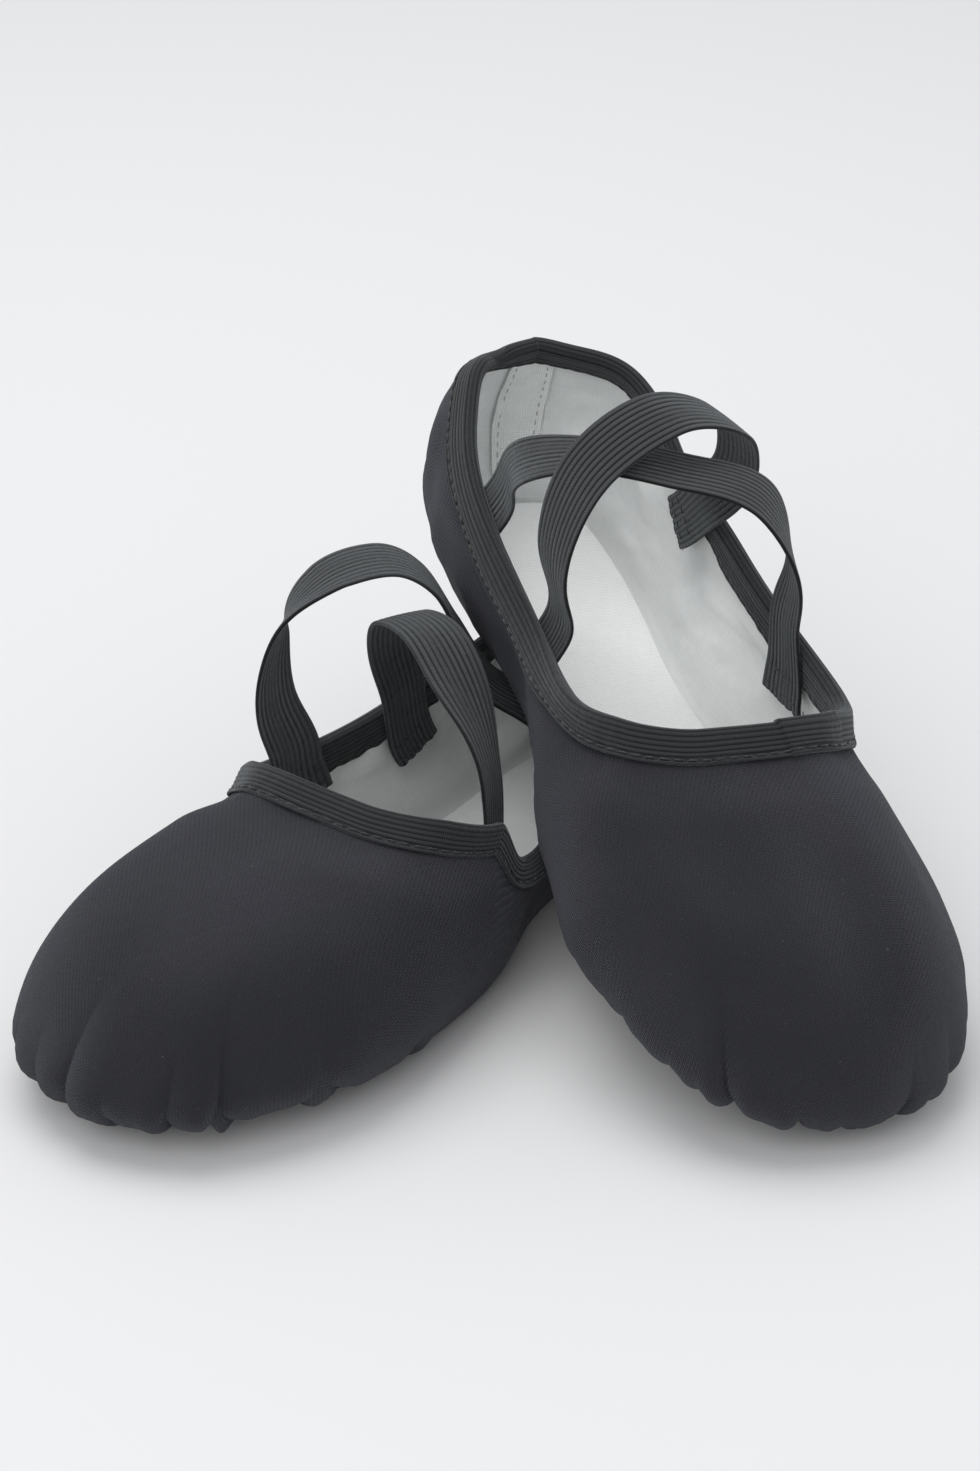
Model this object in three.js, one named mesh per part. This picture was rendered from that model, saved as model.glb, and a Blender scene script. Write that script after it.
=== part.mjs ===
// A pair of split-sole canvas ballet slippers with crossed elastic straps.
// Millimetres, +Z up. The left slipper stands flat; the right one leans, its heel on the left one's rim.
// Each slipper is drawn as a right one: x runs from heel to toe, y points to the inner (medial) side
// and z = 0 is the underside of the sole patches. The left slipper is the same drawing mirrored.
import * as THREE from 'three';

// Overall size of one slipper
const slipperLength = 244;
const slipperWidth = 94;
const rimHeight = 57;

// Layers of the wall, counted inwards from the outer face of the canvas
const gap = 0.35;
const canvasThickness = 1.0;
const liningThickness = 0.7;
const bindingThickness = 0.85;
const bindingDepth = 9.5;
const tapeThickness = 0.5;
const tapeWidth = 14;

// Sole
const soleThickness = 1.2;
const soleInset = 2.5;
const forefootSoleStart = 118;
const heelSoleEnd = 72;
const soleEndBulge = 9;
const heelHalfWidth = slipperWidth / 5;
const footCentring = 0.12;
const turnUnderShare = 0.14;
const padThickness = 2;
const padInset = 10;
const sockThickness = 1;
const sockInset = 6.5;

// Elastic straps
const strapWidth = 15.5;
const strapThickness = 1.2;
const strapEndRound = 2;
const strapEndRise = 5;
const rootShare = 0.3;

// How the pair lies
const leftPose = { x: 53, y: 69, yaw: -126.9 };
const rightPose = { x: 3, y: 95, yaw: -71, roll: -5.1 };
const restAlongRight = 30;
const restOnLeft = 20;
const restClearance = 0.8;
const pressClearance = 2.1;
const sideMargin = 5;
const bulgeReach = 10;
const underBulgeSlope = 1.2;
const besideSlope = 4;
const slump = { station: 3.4, reach: 1.2, share: 0.1 };

// Fineness of the walls
const columnsPerStation = 4;
const wallRows = 5;
const profileSteps = 60;
const strapSteps = 26;

// Offsets of each layer's two faces
const canvasIn = canvasThickness;
const liningOut = canvasIn + gap;
const liningIn = liningOut + liningThickness;
const bindingOut = -gap - bindingThickness;
const bindingIn = liningIn + gap + bindingThickness;
const tabOut = bindingIn + gap;
const tabIn = tabOut + strapThickness;
const canvasBottom = soleThickness + gap;
const clothTop = bindingThickness + gap;

// Four curves shape the upper: the sole edge, the bulge of the side, the shoulder and the rim.
// Each station names its point on all four, on a last 244 long, 94 wide and 57 high.
const last = { length: 244, width: 94, height: 57 };
const stations = [
  { edge: [8, 0, 3], bulge: [-2, 0, 24], shoulder: [-1, 0, 45], rim: [5, -2, 57] },
  { edge: [17, 19, 3], bulge: [9, 26, 24], shoulder: [10, 24, 44], rim: [17, 20, 55.5] },
  { edge: [50, 25, 3], bulge: [48, 33, 22], shoulder: [49, 32, 38], rim: [51, 28, 48] },
  { edge: [98, 25, 3], bulge: [97, 34, 22], shoulder: [98, 34, 36], rim: [97, 33, 45] },
  { edge: [150, 36, 3], bulge: [148, 46, 20], shoulder: [147, 39, 36], rim: [139, 35, 48] },
  { edge: [191, 38, 3], bulge: [193, 49, 19], shoulder: [181, 34, 42], rim: [151, 25, 55] },
  { edge: [222, 30, 3], bulge: [230, 35, 18], shoulder: [210, 27, 45], rim: [154, 12, 57] },
  { edge: [233, 7, 3], bulge: [242, 6, 17], shoulder: [218, 3, 43], rim: [153, -4, 56] },
  { edge: [217, -16, 3], bulge: [229, -27, 16], shoulder: [207, -23, 41], rim: [151, -16, 55] },
  { edge: [184, -34, 3], bulge: [188, -45, 18], shoulder: [174, -40, 40], rim: [144, -27, 53] },
  { edge: [143, -37, 3], bulge: [146, -43, 20], shoulder: [140, -41, 37], rim: [127, -33, 46] },
  { edge: [97, -25, 3], bulge: [98, -32, 24], shoulder: [98, -36, 36], rim: [96, -30, 41] },
  { edge: [49, -27, 3], bulge: [48, -37, 22], shoulder: [47, -36, 37], rim: [48, -31, 46] },
  { edge: [16, -24, 3], bulge: [8, -30, 23], shoulder: [8, -27, 44], rim: [16, -22, 55] },
];
const columns = stations.length * columnsPerStation;
const tipColumn = columns / 2;

// Each strap runs from the outer (lateral) side over the instep to the inner (medial) side.
// from and to are where it is sewn, along x; over lists points that it passes on the way.
const straps = {
  right: {
    lateral: { from: 100, to: 63,
      over: [[92, -28, 57], [80, -18, 76], [75, 3, 88], [74, 22, 82], [71, 29, 61]] },
    medial: { from: 54, to: 114,
      over: [[56, -27, 58], [69, -14, 71], [84, 4, 77], [98, 22, 78], [111, 30, 62]] },
  },
  left: {
    lateral: { from: 124, to: 88,
      over: [[121, -25, 55], [114, -11, 70], [107, 4, 78], [101, 19, 75], [93, 28, 59]] },
    medial: { from: 64, to: 130,
      over: [[64, -10, 35], [66, 3, 39], [71, 13, 45], [75, 20, 60], [83, 24, 77],
        [98, 26, 88], [118, 29, 90], [132, 31, 82], [136, 32, 62]] },
  },
};

const canvasFinish = { color: 0x2a2a31, roughness: 0.9, metalness: 0 };
const liningFinish = { color: 0xdfe4e2, roughness: 0.95, metalness: 0 };
const elasticFinish = { color: 0x313234, roughness: 0.8, metalness: 0 };
const sockFinish = { color: 0xeceeea, roughness: 0.85, metalness: 0 };
const suedeFinish = { color: 0x3a3b37, roughness: 1, metalness: 0 };
const foamFinish = { color: 0xd8d2c4, roughness: 1, metalness: 0 };

const scaleToSize = ([x, y, z]) => new THREE.Vector3(
  x * slipperLength / last.length, y * slipperWidth / last.width, z * rimHeight / last.height);

const alongWall = (x) => x * slipperLength / last.length;
const pastToe = slipperLength * 2;

function closedRing(key) {
  return new THREE.CatmullRomCurve3(stations.map((s) => scaleToSize(s[key])), true, 'catmullrom', 0.5);
}

const rings = {
  edge: closedRing('edge'), bulge: closedRing('bulge'),
  shoulder: closedRing('shoulder'), rim: closedRing('rim'),
};
const ringPoint = (key, column) => rings[key].getPoint((column % columns) / columns);

// The right slipper tilts so that its heel clears the left slipper's rim where the two cross.
const soleFront = Math.max(...stations.map((s) => scaleToSize(s.edge).x)) - soleInset;
const rimAtRest = rimHeightAlong(restOnLeft);
const rightPitch = Math.asin((rimAtRest + restClearance) / (soleFront - restAlongRight));

function rimHeightAlong(x) {
  const samples = Array.from({ length: tipColumn + 1 }, (_, i) => ringPoint('rim', i));
  const near = samples.reduce((best, p) => (Math.abs(p.x - x) < Math.abs(best.x - x) ? p : best));
  return near.z;
}

function poseMatrix(pose, pitch, z, mirrored) {
  const turn = new THREE.Euler(
    THREE.MathUtils.degToRad(pose.roll ?? 0), pitch, THREE.MathUtils.degToRad(pose.yaw), 'ZYX');
  const matrix = new THREE.Matrix4().makeRotationFromEuler(turn).setPosition(pose.x, pose.y, z);
  if (mirrored) matrix.multiply(new THREE.Matrix4().makeScale(1, -1, 1));
  return matrix;
}

// The lowest point of the right slipper's forefoot patch touches the floor.
function lowestSoleHeight() {
  const level = poseMatrix(rightPose, rightPitch, 0, false);
  const outline = soleShape(soleInset, alongWall(forefootSoleStart), pastToe, soleEndBulge).getPoints(1);
  return Math.min(...outline.map((p) => new THREE.Vector3(p.x, p.y, 0).applyMatrix4(level).z));
}

const rightMatrix = poseMatrix(rightPose, rightPitch, -lowestSoleHeight(), false);
const leftMatrix = poseMatrix(leftPose, 0, 0, true);

// Height that the right slipper's underside leaves free over a point of the left slipper.
function roomUnderRight(point) {
  const world = point.clone().applyMatrix4(leftMatrix);
  const inverse = rightMatrix.clone().invert();
  const local = world.clone().applyMatrix4(inverse);
  const below = new THREE.Vector3(local.x, local.y, 0).applyMatrix4(rightMatrix).z;
  const halfWidth = soleHalfWidth(local.x, Math.sign(local.y));
  const outside = Math.max(0, Math.abs(local.y) - halfWidth, -local.x);
  const underBulge = Math.max(0, Math.min(outside, bulgeReach) - sideMargin) * underBulgeSlope;
  const beyondBulge = Math.max(0, outside - bulgeReach) * besideSlope;
  return below - pressClearance + underBulge + beyondBulge;
}

// The flat slipper's inner side sinks a little between the throat and the heel.
function slumpAt(column) {
  const away = (column / columnsPerStation - slump.station) / slump.reach;
  return 1 - slump.share * Math.exp(-away * away);
}

function soleHalfWidth(x, side) {
  const toTip = [...Array(tipColumn + 1).keys()];
  const half = side >= 0 ? toTip : toTip.map((i) => columns - i);
  for (let k = 1; k < half.length; k += 1) {
    const a = ringPoint('edge', half[k - 1]);
    const b = ringPoint('edge', half[k]);
    if (x >= a.x && x <= b.x) return Math.abs(THREE.MathUtils.mapLinear(x, a.x, b.x, a.y, b.y));
  }
  return x < slipperLength / 2 ? heelHalfWidth : 0;
}

// The side wall of one slipper as a grid of points: one column after another around the ring,
// and in each column rows from the rim down to the sole edge and under it.
function makeWall(pressed) {
  const wall = [];
  for (let column = 0; column < columns; column += 1) {
    const edge = ringPoint('edge', column);
    const bulge = ringPoint('bulge', column);
    const shoulder = ringPoint('shoulder', column);
    const rim = ringPoint('rim', column);
    if (pressed) {
      const squeeze = Math.min(slumpAt(column), roomUnderRight(rim) / rim.z);
      [edge, bulge, shoulder, rim].forEach((p) => p.setZ(p.z * squeeze));
      edge.setZ(Math.max(edge.z, canvasBottom + canvasThickness));
    }
    const turnUnder = edge.clone().sub(bulge).multiply(new THREE.Vector3(1.2, 1.2, 0.1)).add(edge);
    const pastRim = rim.clone().multiplyScalar(2).sub(shoulder);
    const profile = new THREE.CatmullRomCurve3(
      [pastRim, rim, shoulder, bulge, edge, turnUnder], false, 'catmullrom', 0.5);
    const fine = [];
    for (let k = 0; k <= profileSteps; k += 1) fine.push(profile.getPoint(0.2 + 0.6 * k / profileSteps));
    const lengths = [0];
    for (let k = 1; k < fine.length; k += 1) lengths.push(lengths[k - 1] + fine[k].distanceTo(fine[k - 1]));
    const total = lengths.at(-1);
    const depths = [0, clothTop, bindingDepth + gap];
    for (let k = 1; k <= wallRows; k += 1) depths.push(depths[2] + (total - depths[2]) * k / wallRows);
    const rows = depths.map((depth) => pointAtLength(fine, lengths, Math.min(depth, total)));
    const centre = new THREE.Vector3(slipperLength / 2, 0, 0);
    const middle = new THREE.Vector3(edge.x, 0, 0).lerp(centre, footCentring);
    const under = edge.clone().lerp(middle, turnUnderShare).setZ(canvasBottom);
    rows.push(under);
    wall.push(rows);
  }
  return { points: wall, normals: inwardNormals(wall) };
}

function pointAtLength(fine, lengths, target) {
  let k = 1;
  while (k < lengths.length - 1 && lengths[k] < target) k += 1;
  return fine[k - 1].clone().lerp(fine[k], (target - lengths[k - 1]) / (lengths[k] - lengths[k - 1]));
}

function inwardNormals(wall) {
  const lastRow = wall[0].length - 1;
  return wall.map((rows, column) => rows.map((point, row) => {
    if (row === lastRow) return new THREE.Vector3(0, 0, 1);
    const ahead = wall[(column + 1) % columns][row];
    const behind = wall[(column + columns - 1) % columns][row];
    const lower = rows[Math.min(row + 1, lastRow)];
    const upper = rows[Math.max(row - 1, 0)];
    const along = ahead.clone().sub(behind);
    const down = lower.clone().sub(upper);
    return down.cross(along).normalize();
  }));
}

// A point of the wall at any column and row, moved inwards by an offset
function wallPoint(wall, column, row, offset) {
  const c0 = Math.floor(column);
  const r0 = Math.min(Math.floor(row), wall.points[0].length - 2);
  const fc = column - c0;
  const fr = row - r0;
  const at = (grid, c, r) => grid[((c % columns) + columns) % columns][r];
  const mix = (grid) => at(grid, c0, r0).clone().lerp(at(grid, c0 + 1, r0), fc)
    .lerp(at(grid, c0, r0 + 1).clone().lerp(at(grid, c0 + 1, r0 + 1), fc), fr);
  return mix(wall.points).addScaledVector(mix(wall.normals), offset);
}

const underRow = wallRows + 3;
const bindingRow = 1 + (bindingDepth - clothTop) / (bindingDepth + gap - clothTop);

// Triangles are gathered here; faces are given counter-clockwise as seen from outside.
class Body {
  constructor() { this.vertices = []; this.faces = []; }

  add(point) { this.vertices.push(point.x, point.y, point.z); return this.vertices.length / 3 - 1; }

  quad(a, b, c, d) { this.faces.push(a, b, c, a, c, d); }

  triangle(a, b, c) { this.faces.push(a, b, c); }

  geometry() {
    const geometry = new THREE.BufferGeometry();
    geometry.setAttribute('position', new THREE.Float32BufferAttribute(this.vertices, 3));
    geometry.setIndex(this.faces);
    return geometry;
  }
}

// A closed bag of cloth: walls from a top row to under the foot, and a flat bottom, with real thickness
function bag(wall, topRow, outside, inside) {
  const body = new Body();
  const rows = [];
  for (let row = topRow; row <= underRow; row += 1) rows.push(row);
  const skin = (offset) => rows.map((row) => Array.from({ length: columns }, (_, column) =>
    body.add(wallPoint(wall, column, row, offset))));
  const outer = skin(outside);
  const inner = skin(inside);
  for (let column = 0; column < columns; column += 1) {
    const next = (column + 1) % columns;
    for (let k = 0; k + 1 < rows.length; k += 1) {
      body.quad(outer[k][column], outer[k][next], outer[k + 1][next], outer[k + 1][column]);
      body.quad(inner[k][column], inner[k + 1][column], inner[k + 1][next], inner[k][next]);
    }
    body.quad(outer[0][column], inner[0][column], inner[0][next], outer[0][next]);
  }
  const outerFoot = outer.at(-1);
  const innerFoot = inner.at(-1);
  for (let i = 0; i < tipColumn; i += 1) {
    const across = (columns - i) % columns;
    const acrossNext = columns - i - 1;
    if (i === 0) {
      body.triangle(outerFoot[0], outerFoot[1], outerFoot[acrossNext]);
      body.triangle(innerFoot[0], innerFoot[acrossNext], innerFoot[1]);
    } else if (i === tipColumn - 1) {
      body.triangle(outerFoot[i], outerFoot[tipColumn], outerFoot[across]);
      body.triangle(innerFoot[i], innerFoot[across], innerFoot[tipColumn]);
    } else {
      body.quad(outerFoot[i], outerFoot[i + 1], outerFoot[acrossNext], outerFoot[across]);
      body.quad(innerFoot[i], innerFoot[across], innerFoot[acrossNext], innerFoot[i + 1]);
    }
  }
  return body.geometry();
}

// The elastic binding is folded over the rim: a channel that runs all the way round
function foldedBinding(wall) {
  const body = new Body();
  const legOut = -gap;
  const legIn = liningIn + gap;
  const roof = (clothTop - gap) / clothTop;
  const section = [
    [bindingRow, bindingOut], [1, bindingOut], [0.2, bindingOut * 0.8], [0, 0],
    [0, liningIn], [0.2, bindingIn * 0.92], [1, bindingIn], [bindingRow, bindingIn],
    [bindingRow, legIn], [roof, legIn], [roof, legOut], [bindingRow, legOut],
  ];
  const loops = Array.from({ length: columns }, (_, column) =>
    section.map(([row, offset]) => body.add(wallPoint(wall, column, row, offset))));
  for (let column = 0; column < columns; column += 1) {
    const here = loops[column];
    const there = loops[(column + 1) % columns];
    for (let k = 0; k < section.length; k += 1) {
      const n = (k + 1) % section.length;
      if (section[n][0] > section[k][0]) body.quad(here[k], here[n], there[n], there[k]);
      else body.quad(here[n], there[n], there[k], here[k]);
    }
  }
  return body.geometry();
}

// A strip that lies on the wall between two offsets, such as a strap's sewn end
function strip(wall, columnList, rowList, outside, inside) {
  const body = new Body();
  const skin = (offset) => rowList.map((row) => columnList.map((column) =>
    body.add(wallPoint(wall, column, row, offset))));
  const outer = skin(outside);
  const inner = skin(inside);
  const wide = columnList.length - 1;
  const high = rowList.length - 1;
  for (let r = 0; r < high; r += 1) {
    for (let c = 0; c < wide; c += 1) {
      body.quad(outer[r][c], outer[r][c + 1], outer[r + 1][c + 1], outer[r + 1][c]);
      body.quad(inner[r][c], inner[r + 1][c], inner[r + 1][c + 1], inner[r][c + 1]);
    }
    body.quad(outer[r][0], outer[r + 1][0], inner[r + 1][0], inner[r][0]);
    body.quad(outer[r + 1][wide], outer[r][wide], inner[r][wide], inner[r + 1][wide]);
  }
  for (let c = 0; c < wide; c += 1) {
    body.quad(outer[0][c + 1], outer[0][c], inner[0][c], inner[0][c + 1]);
    body.quad(outer[high][c], outer[high][c + 1], inner[high][c + 1], inner[high][c]);
  }
  return body.geometry();
}

// Column number of the rim point at a place along the slipper, on the medial or lateral side
function columnAt(wall, x, side) {
  for (let k = 0; k < tipColumn; k += 1) {
    const a = side > 0 ? k : columns - k;
    const b = side > 0 ? k + 1 : columns - k - 1;
    const xa = wallPoint(wall, a, 0, 0).x;
    const xb = wallPoint(wall, b, 0, 0).x;
    if (x >= xa && x <= xb) return THREE.MathUtils.mapLinear(x, xa, xb, a, b);
  }
  throw new Error(`no rim at x = ${x}`);
}

function columnSpan(wall, centre, width) {
  const after = wallPoint(wall, centre + 0.5, 0, tabIn);
  const spacing = after.distanceTo(wallPoint(wall, centre - 0.5, 0, tabIn));
  const half = width / 2 / spacing;
  const list = [centre - half];
  for (let c = Math.ceil(centre - half + 0.05); c < centre + half - 0.05; c += 1) list.push(c);
  list.push(centre + half);
  return list;
}

const tab = (wall, centre) =>
  strip(wall, columnSpan(wall, centre, strapWidth), [0, 1, 2, 3], tabOut, tabIn);

// Where a strap leaves its sewn end: the point, the way up the wall, the way forward along the rim,
// and the line that the band's cut end follows
function strapRoot(wall, centre, side) {
  const middle = (tabOut + tabIn) / 2;
  const span = columnSpan(wall, centre, strapWidth);
  const half = centre - span[0];
  const at = (share, outwards) => wallPoint(wall, centre + side * share * half, 0,
    middle - outwards * strapThickness / 2);
  const point = at(0, 0);
  const up = point.clone().sub(wallPoint(wall, centre, 1, middle)).normalize();
  const forward = at(1, 0).sub(at(-1, 0)).normalize();
  return { point, up, forward, at };
}

// The free span of a strap: a flat band that follows its route and lies flat on the instep
function strapSpan(from, to, over) {
  const start = from.point.clone().addScaledVector(from.up, gap);
  const end = to.point.clone().addScaledVector(to.up, gap);
  const route = new THREE.CatmullRomCurve3([
    start, start.clone().addScaledVector(from.up, strapEndRise), ...over.map(scaleToSize),
    end.clone().addScaledVector(to.up, strapEndRise), end], false, 'centripetal');
  const length = route.getLength();
  const across = to.point.clone().sub(from.point).setZ(0).normalize();
  const level = new THREE.Vector3(across.y, -across.x, 0);
  const body = new Body();
  const sides = [-1, -0.5, 0, 0.5, 1];
  const top = [];
  const bottom = [];
  for (let k = 0; k <= strapSteps; k += 1) {
    const t = k / strapSteps;
    const centre = route.getPointAt(t);
    const tangent = route.getTangentAt(t);
    const root = t < 0.5 ? from : to;
    const rise = Math.min(t, 1 - t) * length;
    const nearRoot = THREE.MathUtils.smoothstep(1 - rise / (rootShare * length), 0, 1);
    const width = level.clone().lerp(root.forward, nearRoot);
    width.addScaledVector(tangent, -width.dot(tangent)).normalize();
    const face = width.clone().cross(tangent);
    const rounding = k === 0 || k === strapSteps ? strapEndRound : 0;
    const place = (side, lift) => {
      const free = centre.clone().addScaledVector(width, side * strapWidth / 2)
        .addScaledVector(face, lift * strapThickness / 2);
      const sewn = root.at(side, lift).addScaledVector(root.up, gap + rise + rounding * side * side);
      return free.lerp(sewn, 1 - THREE.MathUtils.smoothstep(rise, 0, strapEndRise * 2));
    };
    top.push(sides.map((side) => body.add(place(side, 1))));
    bottom.push(sides.map((side) => body.add(place(side, -1))));
  }
  const wide = sides.length - 1;
  for (let k = 0; k < strapSteps; k += 1) {
    for (let c = 0; c < wide; c += 1) {
      body.quad(top[k][c], top[k][c + 1], top[k + 1][c + 1], top[k + 1][c]);
      body.quad(bottom[k][c], bottom[k + 1][c], bottom[k + 1][c + 1], bottom[k][c + 1]);
    }
    body.quad(top[k][0], top[k + 1][0], bottom[k + 1][0], bottom[k][0]);
    body.quad(top[k + 1][wide], top[k][wide], bottom[k][wide], bottom[k + 1][wide]);
  }
  for (let c = 0; c < wide; c += 1) {
    body.quad(top[0][c + 1], top[0][c], bottom[0][c], bottom[0][c + 1]);
    body.quad(top[strapSteps][c], top[strapSteps][c + 1], bottom[strapSteps][c + 1], bottom[strapSteps][c]);
  }
  return body.geometry();
}

// Outline of the foot inside an inset, from one place along the slipper to another.
// Where it stops short of the heel or the toe it ends in a round.
function soleShape(inset, fromX, toX, bulge) {
  const firstColumn = toX < slipperLength / 2 ? tipColumn : 0;
  const kept = [];
  for (let k = 0; k < columns; k += 1) {
    const column = firstColumn + k;
    const here = ringPoint('edge', column);
    const ahead = ringPoint('edge', column + 1);
    const behind = ringPoint('edge', column + columns - 1);
    const outwards = new THREE.Vector2(behind.y - ahead.y, ahead.x - behind.x).normalize();
    const point = new THREE.Vector2(here.x, here.y).addScaledVector(outwards, -inset);
    if (point.x > fromX && point.x < toX) kept.push(point);
  }
  const shape = new THREE.Shape();
  const first = kept[0];
  const last = kept.at(-1);
  shape.moveTo(first.x, first.y);
  shape.splineThru(kept.slice(1));
  if (kept.length < columns) {
    const tip = (fromX > 0 ? Math.min(first.x, last.x) - bulge : Math.max(first.x, last.x) + bulge);
    shape.bezierCurveTo(tip, last.y * 0.6, tip, first.y * 0.6, first.x, first.y);
  }
  return shape;
}

function plate(shape, bottom, thickness) {
  const extrusion = { depth: thickness, bevelEnabled: false, curveSegments: 1 };
  const geometry = new THREE.ExtrudeGeometry(shape, extrusion);
  return geometry.translate(0, 0, bottom);
}

function addMesh(group, name, geometry, finish) {
  const mesh = new THREE.Mesh(geometry, new THREE.MeshStandardMaterial(finish));
  mesh.name = name;
  group.add(mesh);
}

function makeSlipper(side, pressed) {
  const group = new THREE.Group();
  const wall = makeWall(pressed);
  const add = (name, geometry, finish) => addMesh(group, `${side}_${name}`, geometry, finish);
  add('canvas_upper', bag(wall, 1, 0, canvasIn), canvasFinish);
  add('cotton_lining', bag(wall, 1, liningOut, liningIn), liningFinish);
  add('topline_binding', foldedBinding(wall), elasticFinish);

  const heelTape = columnSpan(wall, 0, tapeWidth);
  add('heel_seam_tape', strip(wall, heelTape, [bindingRow + 0.1, 3, 4, 5, 5.6], liningIn + gap,
    liningIn + gap + tapeThickness), liningFinish);

  const forefootFrom = alongWall(forefootSoleStart);
  const heelTo = alongWall(heelSoleEnd);
  add('forefoot_sole', plate(soleShape(soleInset, forefootFrom, pastToe, soleEndBulge), 0, soleThickness),
    suedeFinish);
  add('heel_sole', plate(soleShape(soleInset, 0, heelTo, soleEndBulge), 0, soleThickness), suedeFinish);
  const padBottom = canvasBottom + liningIn + gap;
  add('forefoot_pad',
    plate(soleShape(padInset, forefootFrom, pastToe, soleEndBulge), padBottom, padThickness),
    foamFinish);
  add('heel_pad', plate(soleShape(padInset, 0, heelTo, soleEndBulge), padBottom, padThickness), foamFinish);
  add('sock', plate(soleShape(sockInset, 0, pastToe, 0), padBottom + padThickness + gap, sockThickness),
    sockFinish);

  Object.entries(straps[side]).forEach(([which, strap]) => {
    const outerColumn = columnAt(wall, alongWall(strap.from), -1);
    const innerColumn = columnAt(wall, alongWall(strap.to), 1);
    const outerRoot = strapRoot(wall, outerColumn, -1);
    const innerRoot = strapRoot(wall, innerColumn, 1);
    add(`${which}_strap`, strapSpan(outerRoot, innerRoot, strap.over), elasticFinish);
    add(`${which}_strap_outer_tab`, tab(wall, outerColumn), elasticFinish);
    add(`${which}_strap_inner_tab`, tab(wall, innerColumn), elasticFinish);
  });
  return group;
}

const left = makeSlipper('left', true);
left.applyMatrix4(leftMatrix);
const right = makeSlipper('right', false);
right.applyMatrix4(rightMatrix);

// The origin is the middle of the pair's box, at floor level.
const pair = new THREE.Group();
pair.add(left, right);
pair.updateMatrixWorld(true);
const box = new THREE.Box3().setFromObject(pair, true);
const centre = box.getCenter(new THREE.Vector3());
pair.position.set(-centre.x, -centre.y, -box.min.z);

export default pair;
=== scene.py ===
import math

import bmesh
import bpy
import numpy as np
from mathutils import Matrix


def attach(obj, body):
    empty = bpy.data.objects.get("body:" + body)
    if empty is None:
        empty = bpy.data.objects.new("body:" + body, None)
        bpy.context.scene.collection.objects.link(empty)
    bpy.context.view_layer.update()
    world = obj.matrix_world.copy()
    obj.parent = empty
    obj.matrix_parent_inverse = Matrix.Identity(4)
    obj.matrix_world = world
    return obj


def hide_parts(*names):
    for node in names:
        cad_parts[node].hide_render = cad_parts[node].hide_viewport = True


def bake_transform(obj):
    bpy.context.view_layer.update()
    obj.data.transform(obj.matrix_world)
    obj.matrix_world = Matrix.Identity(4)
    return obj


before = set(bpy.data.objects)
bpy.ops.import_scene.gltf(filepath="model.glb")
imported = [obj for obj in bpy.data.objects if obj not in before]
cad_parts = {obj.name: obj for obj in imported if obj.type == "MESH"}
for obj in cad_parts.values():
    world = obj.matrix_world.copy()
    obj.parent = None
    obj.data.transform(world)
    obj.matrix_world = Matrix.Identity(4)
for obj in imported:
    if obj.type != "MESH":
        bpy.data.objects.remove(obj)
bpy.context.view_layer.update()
bpy.ops.object.select_all(action="DESELECT")


# ---- Studio ----
# A plain pale floor under a large soft light that hangs above and slightly behind the pair, with a weaker one
# from the front left and an even sky all round.
# The camera stands in front of the toes and looks down into both slippers.
camera_data = bpy.data.cameras.new("camera")
camera_data.lens = 75.0
camera_data.clip_start = 0.05
camera = bpy.data.objects.new("camera", camera_data)
camera_drop = math.radians(30.1)
camera_distance = 0.801
camera_aim = (-0.00046, 0.01842, 0.040)
camera.location = (camera_aim[0], camera_aim[1] - camera_distance * math.cos(camera_drop),
                   camera_aim[2] + camera_distance * math.sin(camera_drop))
camera.rotation_euler = (math.radians(90) - camera_drop, 0, 0)
bpy.context.scene.collection.objects.link(camera)
bpy.context.scene.camera = camera
bpy.context.scene.view_settings.view_transform = "Standard"

world = bpy.data.worlds.new("studio")
bpy.context.scene.world = world
world.use_nodes = True
sky = world.node_tree.nodes["Background"].inputs
sky["Color"].default_value = (0.93, 0.94, 0.96, 1)
sky["Strength"].default_value = 0.75


def soft_light(name, place, aim, size, power):
    lamp = bpy.data.lights.new(name, "AREA")
    lamp.shape = "DISK"
    lamp.size = size
    lamp.energy = power
    holder = bpy.data.objects.new(name, lamp)
    holder.location = place
    away = np.array(place) - np.array(aim)
    flat = math.hypot(away[0], away[1])
    holder.rotation_euler = (math.atan2(flat, away[2]), 0, math.atan2(away[1], away[0]) + math.pi / 2)
    bpy.context.scene.collection.objects.link(holder)


soft_light("overhead", (-0.22, 0.32, 1.45), (0, 0, 0.03), 1.2, 9.5)
soft_light("front_fill", (-0.45, -1.1, 1.1), (0, 0, 0.05), 1.2, 6)

bpy.ops.mesh.primitive_plane_add(size=30, location=(0, 0, -0.0004))
floor = bpy.context.object
floor.name = "floor"
bpy.ops.object.transform_apply(location=True)
floor_paint = bpy.data.materials.new("floor_paint")
floor_paint.use_nodes = True
floor_shader = floor_paint.node_tree.nodes["Principled BSDF"]
floor_shader.inputs["Base Color"].default_value = (0.74, 0.74, 0.74, 1)
floor_shader.inputs["Roughness"].default_value = 0.95
floor_shader.inputs["Specular IOR Level"].default_value = 0.1
floor.data.materials.append(floor_paint)


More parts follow.
